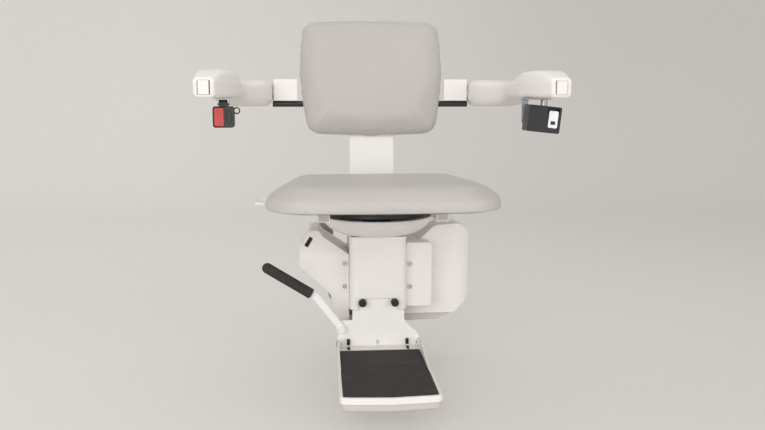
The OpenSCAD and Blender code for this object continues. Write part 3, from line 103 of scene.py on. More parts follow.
class ChairSizes(bpy.types.PropertyGroup):
    """Sizes of the softened edges."""

    edge: length("Moulded edge", "Radius of a moulding's outer edges", 2.0 * MM, 0.0, 0.01)
    metal_edge: length("Metal edge", "Radius of a pressed or cut metal edge", 0.6 * MM, 0.0, 0.005)


class ChairStage(bpy.types.PropertyGroup):
    """The floor and the backdrop."""

    floor_gap: length("Floor gap", "Height of the footrest over the floor", 45 * MM, 0.0, 0.5)
    backdrop: colour("Backdrop", "Pale floor and wall", (0.80, 0.77, 0.73))


class Wire:
    """A shader socket in Python arithmetic: each operator adds a Math node."""

    def __init__(self, graph, socket):
        self.graph = graph
        self.socket = socket

    def __add__(self, other):
        return self.graph.maths("ADD", self, other)

    __radd__ = __add__

    def __mul__(self, other):
        return self.graph.maths("MULTIPLY", self, other)

    __rmul__ = __mul__

    def __sub__(self, other):
        return self.graph.maths("SUBTRACT", self, other)

    def __rsub__(self, other):
        return self.graph.maths("SUBTRACT", other, self)

    def between(self, low, high):
        """0 below low, 1 above high, and smooth between them."""
        return self.graph.add("ShaderNodeMapRange", {"interpolation_type": "SMOOTHSTEP"},
                              Value=self, From_Min=low, From_Max=high)


class Graph:
    """The nodes of one material."""

    def __init__(self, name):
        self.material = bpy.data.materials.new(name)
        self.material.use_nodes = True
        self.tree = self.material.node_tree
        self.shader = self.tree.nodes["Principled BSDF"]
        self.place = self.add("ShaderNodeTexCoord", {}, output="Object")

    def add(self, kind, settings, output=0, **sockets):
        """Adds a node: its settings first, then a value or a link for each named socket."""
        node = self.tree.nodes.new(kind)
        stops = settings.pop("stops", None)
        for key, value in settings.items():
            setattr(node, key, value)
        if stops:
            ramp = node.color_ramp
            while len(ramp.elements) < len(stops):
                ramp.elements.new(0.5)
            for element, (position, shade) in zip(ramp.elements, stops):
                element.position = position
                element.color = (*shade, 1.0)
        for key, value in sockets.items():
            place = int(key[1:]) if key[0] == "n" and key[1:].isdigit() else key.replace("_", " ")
            self.plug(node.inputs[place], value)
        return Wire(self, node.outputs[output])

    def plug(self, socket, value):
        """Links a wire to a socket, or sets the socket's own value."""
        if isinstance(value, Wire):
            self.tree.links.new(value.socket, socket)
        elif hasattr(value, "__len__") and len(value) == 3 and socket.type == "RGBA":
            socket.default_value = (*value, 1.0)
        else:
            socket.default_value = value

    def maths(self, operation, a, b):
        """One Math node on two values."""
        return self.add("ShaderNodeMath", {"operation": operation}, n0=a, n1=b)

    def noise(self, scale, detail=3.0, roughness=0.55, distortion=0.0):
        """Noise on the piece's own coordinates, scale in cells per metre."""
        return self.add("ShaderNodeTexNoise", {}, Vector=self.place, Scale=scale, Detail=detail,
                        Roughness=roughness, Distortion=distortion)

    def cells(self, scale, randomness=1.0):
        """Distance to the middles of a field of cells, scale in cells per metre."""
        return self.add("ShaderNodeTexVoronoi", {"feature": "F1"}, output="Distance",
                        Vector=self.place, Scale=scale, Randomness=randomness)

    def mix(self, share, a, b):
        """One colour mixed into another."""
        node = self.tree.nodes.new("ShaderNodeMix")
        node.data_type = "RGBA"
        colour_a, colour_b, colour_out = 6, 7, 2
        self.plug(node.inputs["Factor"], share)
        self.plug(node.inputs[colour_a], a)
        self.plug(node.inputs[colour_b], b)
        return Wire(self, node.outputs[colour_out])

    def bump(self, height, strength, distance, below=None):
        """A bump, on top of another where below is given."""
        sockets = {"Height": height, "Strength": strength, "Distance": distance}
        if below is not None:
            sockets["Normal"] = below
        return self.add("ShaderNodeBump", {}, **sockets)

    def finish(self, **sockets):
        """Feeds the shader's sockets and hands the material over."""
        for key, value in sockets.items():
            self.plug(self.shader.inputs[key.replace("_", " ")], value)
        return self.material


def shade(base, by):
    """A colour scaled in brightness."""
    return tuple(min(1.0, c * by) for c in base)


def moulded(name, base, rough, grain=0.1):
    """Moulded plastic: fine spark-eroded grain, a slow drift of tone and faint handling marks."""
    g = Graph(name)
    drift = g.noise(6.0, 2.0)
    marks = g.noise(38.0, 4.0, 0.7).between(0.52, 0.74)
    tone = g.mix(drift.between(0.3, 0.7) * 0.6, shade(base, 0.975), shade(base, 1.02))
    tone = g.mix(marks * 0.12, tone, shade(base, 0.9))
    spark = g.noise(2600.0, 2.0, 0.6)
    peel = g.noise(240.0, 1.0)
    normal = g.bump(spark, grain, 0.0002, g.bump(peel, 0.05, 0.0004))
    return g.finish(Base_Color=tone, Roughness=(marks * 0.10 + drift * 0.06 + (rough - 0.03)),
                    Normal=normal, IOR=1.48)


def powder_coat(name, base, rough=0.38):
    """Powder-coated steel: orange peel, fine pinholes and a slightly rubbed gloss."""
    g = Graph(name)
    peel = g.noise(520.0, 2.0, 0.5)
    fine = g.cells(1500.0)
    rub = g.noise(24.0, 4.0, 0.65).between(0.45, 0.75)
    tone = g.mix(g.noise(9.0).between(0.35, 0.7) * 0.5, shade(base, 0.98), shade(base, 1.015))
    normal = g.bump(fine, 0.06, 0.0001, g.bump(peel, 0.16, 0.0003))
    return g.finish(Base_Color=g.mix(rub * 0.07, tone, shade(base, 0.86)),
                    Roughness=rub * 0.12 + peel * 0.08 + (rough - 0.06), Normal=normal, IOR=1.5)


def metal(name, base, rough, grime=0.15):
    """Turned, ground or plated metal: a fine grain, a cloudy gloss and a little grime."""
    g = Graph(name)
    grain = g.noise(900.0, 3.0, 0.6)
    cloud = g.noise(30.0, 3.0, 0.6)
    dirt = g.noise(75.0, 5.0, 0.7).between(0.5, 0.8)
    tone = g.mix(cloud * 0.5, shade(base, 0.92), shade(base, 1.05))
    return g.finish(Base_Color=g.mix(dirt * grime, tone, shade(base, 0.45)), Metallic=1.0,
                    Roughness=grain * 0.12 + cloud * 0.12 + dirt * grime + (rough - 0.12),
                    Normal=g.bump(grain, 0.08, 0.0001))


def cast_alloy(name, base):
    """As-cast aluminium: a pebbled skin with dull and bright patches."""
    g = Graph(name)
    pebble = g.cells(700.0)
    cloud = g.noise(45.0, 4.0, 0.6)
    tone = g.mix(cloud.between(0.35, 0.7), shade(base, 0.82), shade(base, 1.05))
    return g.finish(Base_Color=tone, Metallic=0.9, Roughness=cloud * 0.2 + 0.38,
                    Normal=g.bump(pebble, 0.35, 0.0003, g.bump(cloud, 0.1, 0.0006)))


def upholstery(name, base):
    """Vinyl over foam: pebbled leather grain, darker valleys between pebbles and a soft sheen."""
    g = Graph(name)
    bend = g.add("ShaderNodeMix", {"data_type": "VECTOR"}, output=1, Factor=0.0016,
                 n4=g.place, n5=g.add("ShaderNodeTexNoise", {}, output="Color", Vector=g.place,
                                      Scale=160.0, Detail=2.0))
    pebble = g.add("ShaderNodeTexVoronoi", {"feature": "DISTANCE_TO_EDGE"}, output="Distance",
                   Vector=bend, Scale=620.0)
    valley = 1.0 - pebble.between(0.0, 0.16)
    fine = g.noise(2400.0, 2.0, 0.6)
    crease = g.noise(46.0, 3.0, 0.6, 0.6)
    drift = g.noise(5.0, 2.0)
    wear = g.noise(13.0, 4.0, 0.62).between(0.45, 0.75)
    tone = g.mix(drift.between(0.3, 0.7) * 0.7, shade(base, 0.97), shade(base, 1.025))
    tone = g.mix(valley * 0.16, tone, shade(base, 0.72))
    tone = g.mix(wear * 0.06, tone, shade(base, 0.88))
    height = pebble.between(0.0, 0.3) + fine * 0.25
    normal = g.bump(height, 0.22, 0.00035, g.bump(crease, 0.10, 0.0012))
    return g.finish(Base_Color=tone, Roughness=valley * 0.12 + wear * 0.08 + 0.40, Normal=normal,
                    IOR=1.47, Sheen_Weight=0.08, Sheen_Roughness=0.4)


def rubber(name, base, rough, scale):
    """Rubber or foam: open stipple, pale dust in it and a dull skin."""
    g = Graph(name)
    stipple = g.cells(scale)
    fine = g.noise(scale * 2.0, 2.0, 0.6)
    dust = g.noise(28.0, 5.0, 0.68).between(0.45, 0.78)
    tone = g.mix(stipple.between(0.1, 0.6) * 0.35, shade(base, 0.8), shade(base, 1.45))
    dusty = (0.30, 0.29, 0.27)
    tone = g.mix(dust * 0.10, tone, dusty)
    return g.finish(Base_Color=tone, Roughness=dust * 0.1 + (rough - 0.05),
                    Normal=g.bump(stipple + fine * 0.3, 0.5, 0.0004), IOR=1.45)


def circuit(name, base):
    """Circuit board: tracks in a grid under a satin lacquer."""
    g = Graph(name)
    grid = g.cells(420.0, 0.15)
    tone = g.mix(grid.between(0.32, 0.4), shade(base, 1.5), base)
    return g.finish(Base_Color=tone, Roughness=g.noise(200.0) * 0.15 + 0.28,
                    Normal=g.bump(grid, 0.1, 0.0001), Coat_Weight=0.3)


def make_finishes():
    """Each material slot's finish, made once."""
    c = bpy.context.scene.chair_colours
    black = (0.014, 0.0138, 0.014)
    steel = (0.42, 0.42, 0.43)
    plating = (0.62, 0.62, 0.63)
    brass = (0.70, 0.52, 0.24)
    aluminium = (0.52, 0.53, 0.54)
    board = (0.05, 0.048, 0.046)
    foam = (0.036, 0.034, 0.033)
    polymer = (0.50, 0.49, 0.475)
    green = (0.02, 0.11, 0.05)
    return {
        "body_white": moulded("Shell white", c.shell, 0.40),
        # the arms' lower mouldings and rocker bezels are the shell's plastic drawn 5 % darker:
        # painted shade
        "arm_grey": moulded("Arm moulding in painted shade", shade(c.shell, 0.95), 0.44, 0.14),
        "painted_white": powder_coat("White powder coat", c.paint),
        "painted_dark": powder_coat("Black powder coat", c.dark_paint, 0.42),
        "steel": metal("Zinc-plated steel", steel, 0.36),
        "bright": metal("Bright plating", plating, 0.22, grime=0.12),
        "brass": metal("Brass", brass, 0.30),
        "alloy": cast_alloy("Cast alloy", aluminium),
        "vinyl": upholstery("Warm grey vinyl", c.vinyl),
        "board": moulded("Seat board", board, 0.6, 0.3),
        "black_plastic": moulded("Black moulding", black, 0.38, 0.2),
        "red_plastic": moulded("Red button", c.button, 0.33, 0.08),
        "mat_rubber": rubber("Tread rubber", c.mat, 0.82, 620.0),
        "grip_rubber": rubber("Foam grip", foam, 0.88, 1500.0),
        "grey_plastic": moulded("Grey moulding", c.pan, 0.46, 0.16),
        "roller_grey": moulded("Roller polymer", polymer, 0.42, 0.12),
        "green_board": circuit("Circuit board", green),
    }


SLOT_OF = {s["node"]: s["material_slot"] for s in frame["record"]["subparts"]}
BODY_OF = {n: b for b, ns in frame["record"]["behaviour"]["bodies"].items() for n in ns}
finishes = {}


def finish_of(slot):
    """The material of a slot."""
    if not finishes:
        finishes.update(make_finishes())
    return finishes[slot]


def piece(bm, name, slot, body, smooth=True, angle=35):
    """Turns a mesh in hand into a finished piece that rides on its body."""
    mesh = bpy.data.meshes.new(name)
    bm.to_mesh(mesh)
    bm.free()
    obj = bpy.data.objects.new(name, mesh)
    bpy.context.scene.collection.objects.link(obj)
    mesh.materials.append(finish_of(slot))
    if smooth:
        mesh.shade_smooth()
        mesh.set_sharp_from_angle(angle=math.radians(angle))
    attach(obj, body)
    return obj


def copied(node):
    """A CAD node's mesh with its seams merged and its flat faces whole."""
    bm = bmesh.new()
    bm.from_mesh(frame["nodes"][node].data)
    bmesh.ops.remove_doubles(bm, verts=bm.verts, dist=WELD)
    bmesh.ops.dissolve_limit(bm, angle_limit=FLAT, verts=bm.verts, edges=bm.edges)
    return bm


def soften(bm, radius, segments=3, where=None):
    """Rounds the sharp edges, or those of them that a test picks."""
    sharp = math.radians(32)
    edges = [e for e in bm.edges if len(e.link_faces) == 2 and e.calc_face_angle(0.0) > sharp
             and (where is None or where(e))]
    bmesh.ops.bevel(bm, geom=edges, offset=radius, offset_type="OFFSET", segments=segments,
                    profile=0.5, affect="EDGES", clamp_overlap=False, material=-1)


def refilled(bm):
    """Fills again the flat faces whose outline folds over itself after the rounding."""
    bm.normal_update()
    smallest = 0.02 * MM * MM
    folded = set()
    for loops in bm.calc_loop_triangles():
        a, b, c = (loop.vert.co for loop in loops)
        across = (b - a).cross(c - a)
        if across.length > smallest and across.dot(loops[0].face.normal) < 0:
            folded.add(loops[0].face)
    for face in sorted(folded, key=lambda f: f.index):
        edges, normal = list(face.edges), face.normal.copy()
        bmesh.ops.delete(bm, geom=[face], context="FACES_ONLY")
        filled = bmesh.ops.triangle_fill(bm, edges=edges, use_beauty=True, normal=normal)["geom"]
        for part in filled:
            if isinstance(part, bmesh.types.BMFace) and part.normal.dot(normal) < 0:
                part.normal_flip()


def evened(obj):
    """Weights the shading towards the large faces, so flats beside rounded edges stay flat."""
    even = obj.modifiers.new("Even shading", "WEIGHTED_NORMAL")
    even.weight = 60
    even.keep_sharp = True
    return obj


def dressed(node, radius, segments=3):
    """A CAD node redone with softened edges."""
    bm = copied(node)
    soften(bm, radius, segments)
    refilled(bm)
    obj = evened(piece(bm, node + "_finished", SLOT_OF[node], BODY_OF[node], angle=40))
    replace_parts(obj, node)
    return obj


def block(low, high, radius):
    """A box between two corners, in millimetres, with rounded edges."""
    bm = bmesh.new()
    bmesh.ops.create_cube(bm, size=1.0)
    middle = (Vector(low) + Vector(high)) * (MM / 2)
    size = (Vector(high) - Vector(low)) * MM
    bmesh.ops.transform(bm, matrix=Matrix.Translation(middle) @ Matrix.Diagonal((*size, 1.0)),
                        verts=bm.verts)
    bmesh.ops.bevel(bm, geom=bm.edges[:], offset=radius * MM, offset_type="OFFSET", segments=3,
                    profile=0.5, affect="EDGES", clamp_overlap=True, material=-1)
    return bm


def joined(meshes, mirrored=False):
    """Several meshes as one, with their mirror images across the chair where asked."""
    whole = bmesh.new()
    for bm in meshes:
        part = bpy.data.meshes.new("part")
        bm.to_mesh(part)
        bm.free()
        whole.from_mesh(part)
        if mirrored:
            other = bmesh.new()
            other.from_mesh(part)
            bmesh.ops.scale(other, vec=(-1, 1, 1), verts=other.verts)
            bmesh.ops.reverse_faces(other, faces=other.faces)
            other.to_mesh(part)
            other.free()
            whole.from_mesh(part)
        bpy.data.meshes.remove(part)
    return whole


def bottom_edge(node):
    """A test that picks the level edges at the bottom of a node."""
    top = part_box(node)[0].z + 0.5 * MM

    def test(e):
        a, b = (v.co.z for v in e.verts)
        return max(a, b) <= top and abs(a - b) < 0.3 * MM
    return test


def settled(obj):
    """Applies an object's modifiers to its mesh."""
    bpy.context.view_layer.update()
    graph = bpy.context.evaluated_depsgraph_get()
    mesh = bpy.data.meshes.new_from_object(obj.evaluated_get(graph), depsgraph=graph)
    old, obj.data = obj.data, mesh
    obj.modifiers.clear()
    bpy.data.meshes.remove(old)
    return obj


FOAM_FRAMES = 20
FOAM_REACH = 5 * MM


def plumped(obj, held):
    """Lets air pressure fill a pad's cover like foam: held(co, normal) says where it is glued
    down, and no point moves further than the foam's reach."""
    group = obj.vertex_groups.new(name="glued")
    for v in obj.data.vertices:
        if held(v.co, v.normal):
            group.add([v.index], 1.0, "REPLACE")
    start = [v.co.copy() for v in obj.data.vertices]
    cloth = obj.modifiers.new("Foam pressure", "CLOTH")
    cloth.point_cache.frame_start = 1
    cloth.point_cache.frame_end = FOAM_FRAMES
    settings = cloth.settings
    settings.quality = 5
    settings.mass = 0.35
    settings.tension_stiffness = settings.compression_stiffness = 12.0
    settings.bending_stiffness = 1.5
    settings.use_pressure = True
    settings.uniform_pressure_force = 4.0
    settings.vertex_group_mass = "glued"
    settings.effector_weights.gravity = 0.0
    for number in range(1, FOAM_FRAMES + 1):
        bpy.context.scene.frame_set(number)
    settled(obj)
    bpy.context.scene.frame_set(1)
    for v, was in zip(obj.data.vertices, start):
        move = v.co - was
        if move.length > FOAM_REACH:
            v.co = was + move * (FOAM_REACH / move.length)
    return obj


def wrapped_under(bm, width, drop):
    """Carries a pad's cover down round the edge of the board that it is fixed to."""
    bmesh.ops.dissolve_limit(bm, angle_limit=FLAT, verts=bm.verts, edges=bm.edges)
    under = [f for f in bm.faces if f.normal.z < -0.99]
    ring = bmesh.ops.inset_region(bm, faces=under, thickness=width, use_even_offset=True)["faces"]
    out = bmesh.ops.extrude_face_region(bm, geom=ring)["geom"]
    bmesh.ops.translate(bm, verts=[v for v in out if isinstance(v, bmesh.types.BMVert)],
                        vec=(0, 0, -drop))
    bmesh.ops.delete(bm, geom=ring, context="FACES")


PAD_SHRINK = 2.5 * MM
PAD_GRID = 5 * MM
PAD_SMOOTHINGS = 14


def cushion(node, held, seams=(), wrap=None):
    """A padded piece in the space of its CAD solid: shrunk, filled, smoothed and sewn."""
    bm = bmesh.new()
    bm.from_mesh(frame["nodes"][node].data)
    bmesh.ops.remove_doubles(bm, verts=bm.verts, dist=WELD)
    if wrap:
        wrapped_under(bm, *wrap)
    bm.normal_update()
    for v in bm.verts:
        if not held(v.co, v.normal):
            v.co -= v.normal * PAD_SHRINK
    obj = piece(bm, node.replace("cushion", "pad"), SLOT_OF[node], BODY_OF[node], smooth=False)
    remesh = obj.modifiers.new("Even mesh", "REMESH")
    remesh.mode = "VOXEL"
    remesh.voxel_size = PAD_GRID
    settled(obj)
    plumped(obj, held)
    bm = bmesh.new()
    bm.from_mesh(obj.data)
    loose = [v for v in bm.verts if not held(v.co, v.normal)]
    for _ in range(PAD_SMOOTHINGS):
        bmesh.ops.smooth_vert(bm, verts=loose, factor=0.5, **EVERY_AXIS)
    bm.to_mesh(obj.data)
    bm.free()
    finer = obj.modifiers.new("Finer", "SUBSURF")
    finer.levels = finer.render_levels = 1
    settled(obj)
    for point, normal, width, depth in seams:
        sewn(obj, point, normal, width, depth, held)
    obj.data.shade_smooth()
    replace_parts(obj, node)
    return obj


def sewn(obj, point, normal, width, depth, held):
    """Presses a narrow valley into a pad along the plane of a seam."""
    bm = bmesh.new()
    bm.from_mesh(obj.data)
    direction = Vector(normal).normalized()
    middle = []
    for offset in (-width, 0.0, width):
        cut = bmesh.ops.bisect_plane(bm, geom=bm.verts[:] + bm.edges[:] + bm.faces[:],
                                     dist=0.0001 * MM, plane_co=Vector(point) + direction * offset,
                                     plane_no=direction)
        if offset == 0.0:
            middle = [v for v in cut["geom_cut"] if isinstance(v, bmesh.types.BMVert)]
    bm.normal_update()
    for v in middle:
        if v.is_valid and not held(v.co, v.normal):
            v.co -= v.normal * depth
    bm.to_mesh(obj.data)
    bm.free()


class CHAIR_OT_finishes(bpy.types.Operator):
    """Give every solid of the chair its finish."""

    bl_idname = "chair.finishes"
    bl_label = "Finishes"

    def execute(self, context):
        for name, obj in frame["nodes"].items():
            obj.data.materials.clear()
            obj.data.materials.append(finish_of(SLOT_OF[name]))
        return {"FINISHED"}


BACK_TILT = math.radians(10)
BACK_NORMAL = Vector((0.0, math.cos(BACK_TILT), -math.sin(BACK_TILT)))
GLUED_DEPTH = 2.5 * MM
WRAP_WIDTH, WRAP_DROP = 22 * MM, 6 * MM
SEAM_PLACE = 0.45
SEAM_WIDTH, SEAM_DEPTH = 1.3 * MM, 0.9 * MM


class CHAIR_OT_seat_pad(bpy.types.Operator):
    """Pad the seat: vinyl drawn tight over foam and fixed under the seat board."""

    bl_idname = "chair.seat_pad"
    bl_label = "Seat pad"

    def execute(self, context):
        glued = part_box("seat_cushion")[0].z + GLUED_DEPTH
        cushion("seat_cushion", lambda co, n: n.z < -0.6 and co.z < glued,
                wrap=(WRAP_WIDTH, WRAP_DROP))
        return {"FINISHED"}


class CHAIR_OT_back_pad(bpy.types.Operator):
    """Pad the backrest, with the seam that joins its front panel to its sides."""

    bl_idname = "chair.back_pad"
    bl_label = "Back pad"

    def execute(self, context):
        depths = [v.co.dot(BACK_NORMAL) for v in frame["nodes"]["back_cushion"].data.vertices]
        front, rear = min(depths), max(depths)
        glued = rear - GLUED_DEPTH
        seam = BACK_NORMAL * (front + (rear - front) * SEAM_PLACE)
        cushion("back_cushion",
                lambda co, n: n.dot(BACK_NORMAL) > 0.6 and co.dot(BACK_NORMAL) > glued,
                seams=((seam, BACK_NORMAL, SEAM_WIDTH, SEAM_DEPTH),))
        return {"FINISHED"}


class CHAIR_OT_arms(bpy.types.Operator):
    """Finish the arms' upper and lower mouldings and their control rockers."""

    bl_idname = "chair.arms"
    bl_label = "Arms"

    def execute(self, context):
        for node in ("arm_left_top", "arm_left_base", "arm_right_top", "arm_right_base"):
            obj = piece(copied(node), node + "_finished", SLOT_OF[node], BODY_OF[node], angle=48)
            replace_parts(obj, node)
        for node in ("rocker_left", "rocker_right"):
            dressed(node, 1.0 * MM, 4)
        low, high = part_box("rocker_right")
        front, rear = low.y / MM + 3.7, high.y / MM - 5
        gap, reach, inset = 0.9, 6, 0.5
        for side, body, edges in ((-1, "arm_left", (high.x,)), (1, "arm_right", (low.x, high.x))):
            strips = []
            for x in edges:
                way = 1 if x == high.x else -1
                near, far = sorted((side * (x / MM + way * gap), side * (x / MM + way * reach)))
                strips.append(block((near, front, low.z / MM + inset),
                                    (far, rear, high.z / MM - inset), 0.4))
            evened(piece(joined(strips), "rocker_bezel_" + body[4:], "arm_grey", body))
        return {"FINISHED"}


# The bowl collar's rolled lip, in mm: how far outside its rim, and how far below its top.
LIP_LINE = ((0.2, 0.4), (1.6, 1.2), (2.0, 2.6), (2.0, 7.6), (1.4, 9.0), (-0.6, 9.8))


def collar_lip():
    """The lip round the bowl collar, turned from its line."""
    low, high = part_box("collar")
    centre = (low + high) / 2
    bm = bmesh.new()
    line = [bm.verts.new((high.x + out * MM, centre.y, high.z - down * MM))
            for out, down in LIP_LINE]
    links = [bm.edges.new(ends) for ends in zip(line, line[1:])]
    bmesh.ops.spin(bm, geom=line + links, cent=(0, centre.y, 0), axis=(0, 0, 1), dvec=(0, 0, 0),
                   angle=2 * math.pi, steps=96, use_merge=True)
    bmesh.ops.remove_doubles(bm, verts=bm.verts, dist=0.01 * MM)
    bmesh.ops.recalc_face_normals(bm, faces=bm.faces)
    piece(bm, "collar_lip", "body_white", "carriage", angle=60)


class CHAIR_OT_covers(bpy.types.Operator):
    """Finish the carriage's mouldings: column, side covers, collar, tray and back shell."""

    bl_idname = "chair.covers"
    bl_label = "Covers"

    def execute(self, context):
        edge = context.scene.chair_sizes.edge
        for node in ("column_cover", "left_cover", "right_cover", "collar", "lower_tray",
                     "back_shell"):
            dressed(node, edge, 4)
        dressed("power_rocker", 0.6 * MM)
        collar_lip()
        return {"FINISHED"}


# The bracket's outer slots, in mm: the middle of each across the chair, and its top.
SLOTS = ((-70, -133), (66, -134))
SLOT_REACH = 3.6
PIN_STUB = 86 * MM


def pin_stubs():
    """The hinge pin's two ends, in the lugs."""
    bm = copied("footrest_pin")
    for side in (-1, 1):
        bmesh.ops.bisect_plane(bm, geom=bm.verts[:] + bm.edges[:] + bm.faces[:], dist=0.001 * MM,
                               plane_co=(side * PIN_STUB, 0, 0), plane_no=(1, 0, 0))
    inner = [f for f in bm.faces if all(abs(v.co.x) < PIN_STUB + 0.01 * MM for v in f.verts)]
    bmesh.ops.delete(bm, geom=inner, context="FACES")
    bmesh.ops.holes_fill(bm, edges=[e for e in bm.edges if e.is_boundary], sides=0)
    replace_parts(evened(piece(bm, "footrest_pin_stubs", "steel", BODY_OF["footrest_pin"])),
                "footrest_pin")


class CHAIR_OT_footrest(bpy.types.Operator):
    """Finish the footrest: plate, tread, safety pan, bracket, lever and its grip."""

    bl_idname = "chair.footrest"
    bl_label = "Footrest"

    def execute(self, context):
        fine = context.scene.chair_sizes.metal_edge
        bm = copied("footplate")
        soften(bm, 4.5 * MM, 4, where=bottom_edge("footplate"))
        soften(bm, 0.7 * MM)
        refilled(bm)
        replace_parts(evened(piece(bm, "footplate_finished", "body_white", "footrest")), "footplate")
        bm = copied("safety_pan")
        soften(bm, 6.0 * MM, 6, where=bottom_edge("safety_pan"))
        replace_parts(evened(piece(bm, "safety_pan_finished", "grey_plastic", "safety_edge")),
                    "safety_pan")
        pin_stubs()
        dressed("foot_mat", 1.0 * MM)
        # painted shade: thin black blocks on the rear step continue the bracket's outer slots and
        # stand for the shadow inside them
        painted_slot_shade = [block((x - SLOT_REACH, -275.4, -151.2), (x + SLOT_REACH, -250.6, -150.5), 0.2)
                   for x, _ in SLOTS]
        piece(joined(painted_slot_shade), "rear_step_painted_slot_shade", "black_plastic", "footrest")
        dressed("lever_pivot", 0.5 * MM).data.materials[0] = finish_of("painted_white")
        # painted shade: black blocks behind the bracket's outer slots stand for the shadow seen
        # through them
        slot_shade_backings = [block((x - SLOT_REACH, -249.2, -147.5), (x + SLOT_REACH, -247.2, top), 0.3)
                  for x, top in SLOTS]
        piece(joined(slot_shade_backings), "slot_painted_shade_backings", "black_plastic", BODY_OF["footrest_bracket"])
        dressed("footrest_bracket", fine)
        dressed("footrest_lever", fine)
        dressed("lever_grip", 1.2 * MM)
        return {"FINISHED"}


# Plates and plugs on the side towards +X, in mm; each has a mirror image on the other side.
BRACKET_FRONT = ((184, -9.2, 411.8), (242.4, -7.2, 464.4))
BRACKET_FLANGE = ((184, -8, 462.2), (242.4, 6, 464.4))
PLUG_SPAN, PLUG_HEIGHT = (113.5, 136.5), (162, 184)


class CHAIR_OT_seat_support(bpy.types.Operator):
    """Finish the metalwork that carries the seat, the back and the arms."""

    bl_idname = "chair.seat_support"
    bl_label = "Seat support"

    def execute(self, context):
        fine = context.scene.chair_sizes.metal_edge
        for node in ("seat_frame", "swivel_plate", "back_post", "arm_brackets", "arm_tube",
                     "swivel_lever", "seat_pan"):
            dressed(node, fine)
        plates = [block(*corners, 0.8) for corners in (BRACKET_FRONT, BRACKET_FLANGE)]
        evened(piece(joined(plates, True), "arm_bracket_fronts", "painted_white", "chair"))
        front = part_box("seat_frame")[0].y / MM
        plug = block((PLUG_SPAN[0], front + 1, PLUG_HEIGHT[0]),
                     (PLUG_SPAN[1], front + 6, PLUG_HEIGHT[1]), 0.8)
        evened(piece(joined([plug], True), "rail_plugs", "grey_plastic", "chair"))
        return {"FINISHED"}


class CHAIR_OT_belt(bpy.types.Operator):
    """Finish the belt's buckle, button, reel, brackets and tongue."""

    bl_idname = "chair.belt"
    bl_label = "Belt"

    def execute(self, context):
        for node, radius in (("buckle", 0.8), ("buckle_button", 0.7), ("retractor", 0.9),
                             ("buckle_hanger", 0.4), ("belt_bracket", 0.4), ("belt_tongue", 0.3)):
            dressed(node, radius * MM)
        return {"FINISHED"}


class CHAIR_OT_running_gear(bpy.types.Operator):
    """Finish the chassis, drive, batteries and rollers behind the covers."""

    bl_idname = "chair.running_gear"
    bl_label = "Running gear"

    def execute(self, context):
        fine = context.scene.chair_sizes.metal_edge
        for node in ("chassis_plate", "column_frame", "gearbox", "motor", "batteries",
                     "battery_shelf", "roller_upper_left", "roller_upper_right",
                     "roller_lower_left", "roller_lower_right", "clamp_screws", "cover_screws"):
            dressed(node, fine)
        return {"FINISHED"}


LAMP_SIZE = 2.6
LAMPS = (
    ("Key lamp", (-1.4, -3.2, 0.9), (0.0, -0.1, 0.15), 52.0),
    ("Fill lamp", (2.2, -2.9, 0.6), (0.0, -0.1, 0.15), 30.0),
    ("Top lamp", (0.0, 0.1, 2.9), (0.0, -0.1, 0.1), 8.0),
)
SKY_COLOUR, SKY_STRENGTH = (1.0, 0.995, 0.985, 1), 0.66
CAMERA_PLACE = (-0.14, -2.06, 0.413)
CAMERA_DOWN, CAMERA_ASIDE = 8.07, 4.7
SENSOR, FOCAL_PIXELS, PICTURE_PIXELS = 36.0, 811, 765


def backdrop_sheet(low):
    """A floor that sweeps up into a wall behind the chair."""
    half, front, rear, rise, sweep = 7.0, -6.0, 2.6, 5.0, 1.2
    bm = bmesh.new()
    rim = bm.edges.new([bm.verts.new((x, front, low)) for x in (-half, half)])
    out = bmesh.ops.extrude_edge_only(bm, edges=[rim])["geom"]
    moved = [v for v in out if isinstance(v, bmesh.types.BMVert)]
    bmesh.ops.translate(bm, verts=moved, vec=(0, rear - front, 0))
    last = [e for e in out if isinstance(e, bmesh.types.BMEdge)]
    bmesh.ops.spin(bm, geom=moved + last, cent=(0, rear, low + sweep), axis=(1, 0, 0),
                   dvec=(0, 0, 0), angle=math.pi / 2, steps=24)
    top = [e for e in bm.edges if all(v.co.z > low + sweep - 0.01 for v in e.verts)]
    out = bmesh.ops.extrude_edge_only(bm, edges=top)["geom"]
    bmesh.ops.translate(bm, verts=[v for v in out if isinstance(v, bmesh.types.BMVert)],
                        vec=(0, 0, rise))
    mesh = bpy.data.meshes.new("Backdrop")
    bm.to_mesh(mesh)
    bm.free()
    mesh.shade_smooth()
    return mesh


def backdrop_finish(pale):
    """A matt sheet with painted shade to the right, half lit and half glowing to the camera."""
    g = Graph("Backdrop")
    across = g.add("ShaderNodeSeparateXYZ", {}, Vector=g.place)
    # the slow noise is a drift of tone; the darkening to the right is painted shade, light falling
    # off across the sheet
    drift = g.noise(0.5, 1.0) * 0.3 + across.between(-1.8, 2.4) * 0.8
    tone = g.mix(drift, pale, shade(pale, 0.78))
    g.finish(Base_Color=tone, Roughness=0.9)
    seen = g.add("ShaderNodeLightPath", {}, output="Is Camera Ray")
    glossy = g.add("ShaderNodeLightPath", {}, output="Is Glossy Ray")
    glow = g.add("ShaderNodeEmission", {}, Color=tone, Strength=1.0)
    both = g.add("ShaderNodeMixShader", {}, n0=(seen + glossy) * 0.5,
                 n1=Wire(g, g.shader.outputs[0]), n2=glow)
    g.tree.links.new(both.socket, g.tree.nodes["Material Output"].inputs["Surface"])
    return g.material


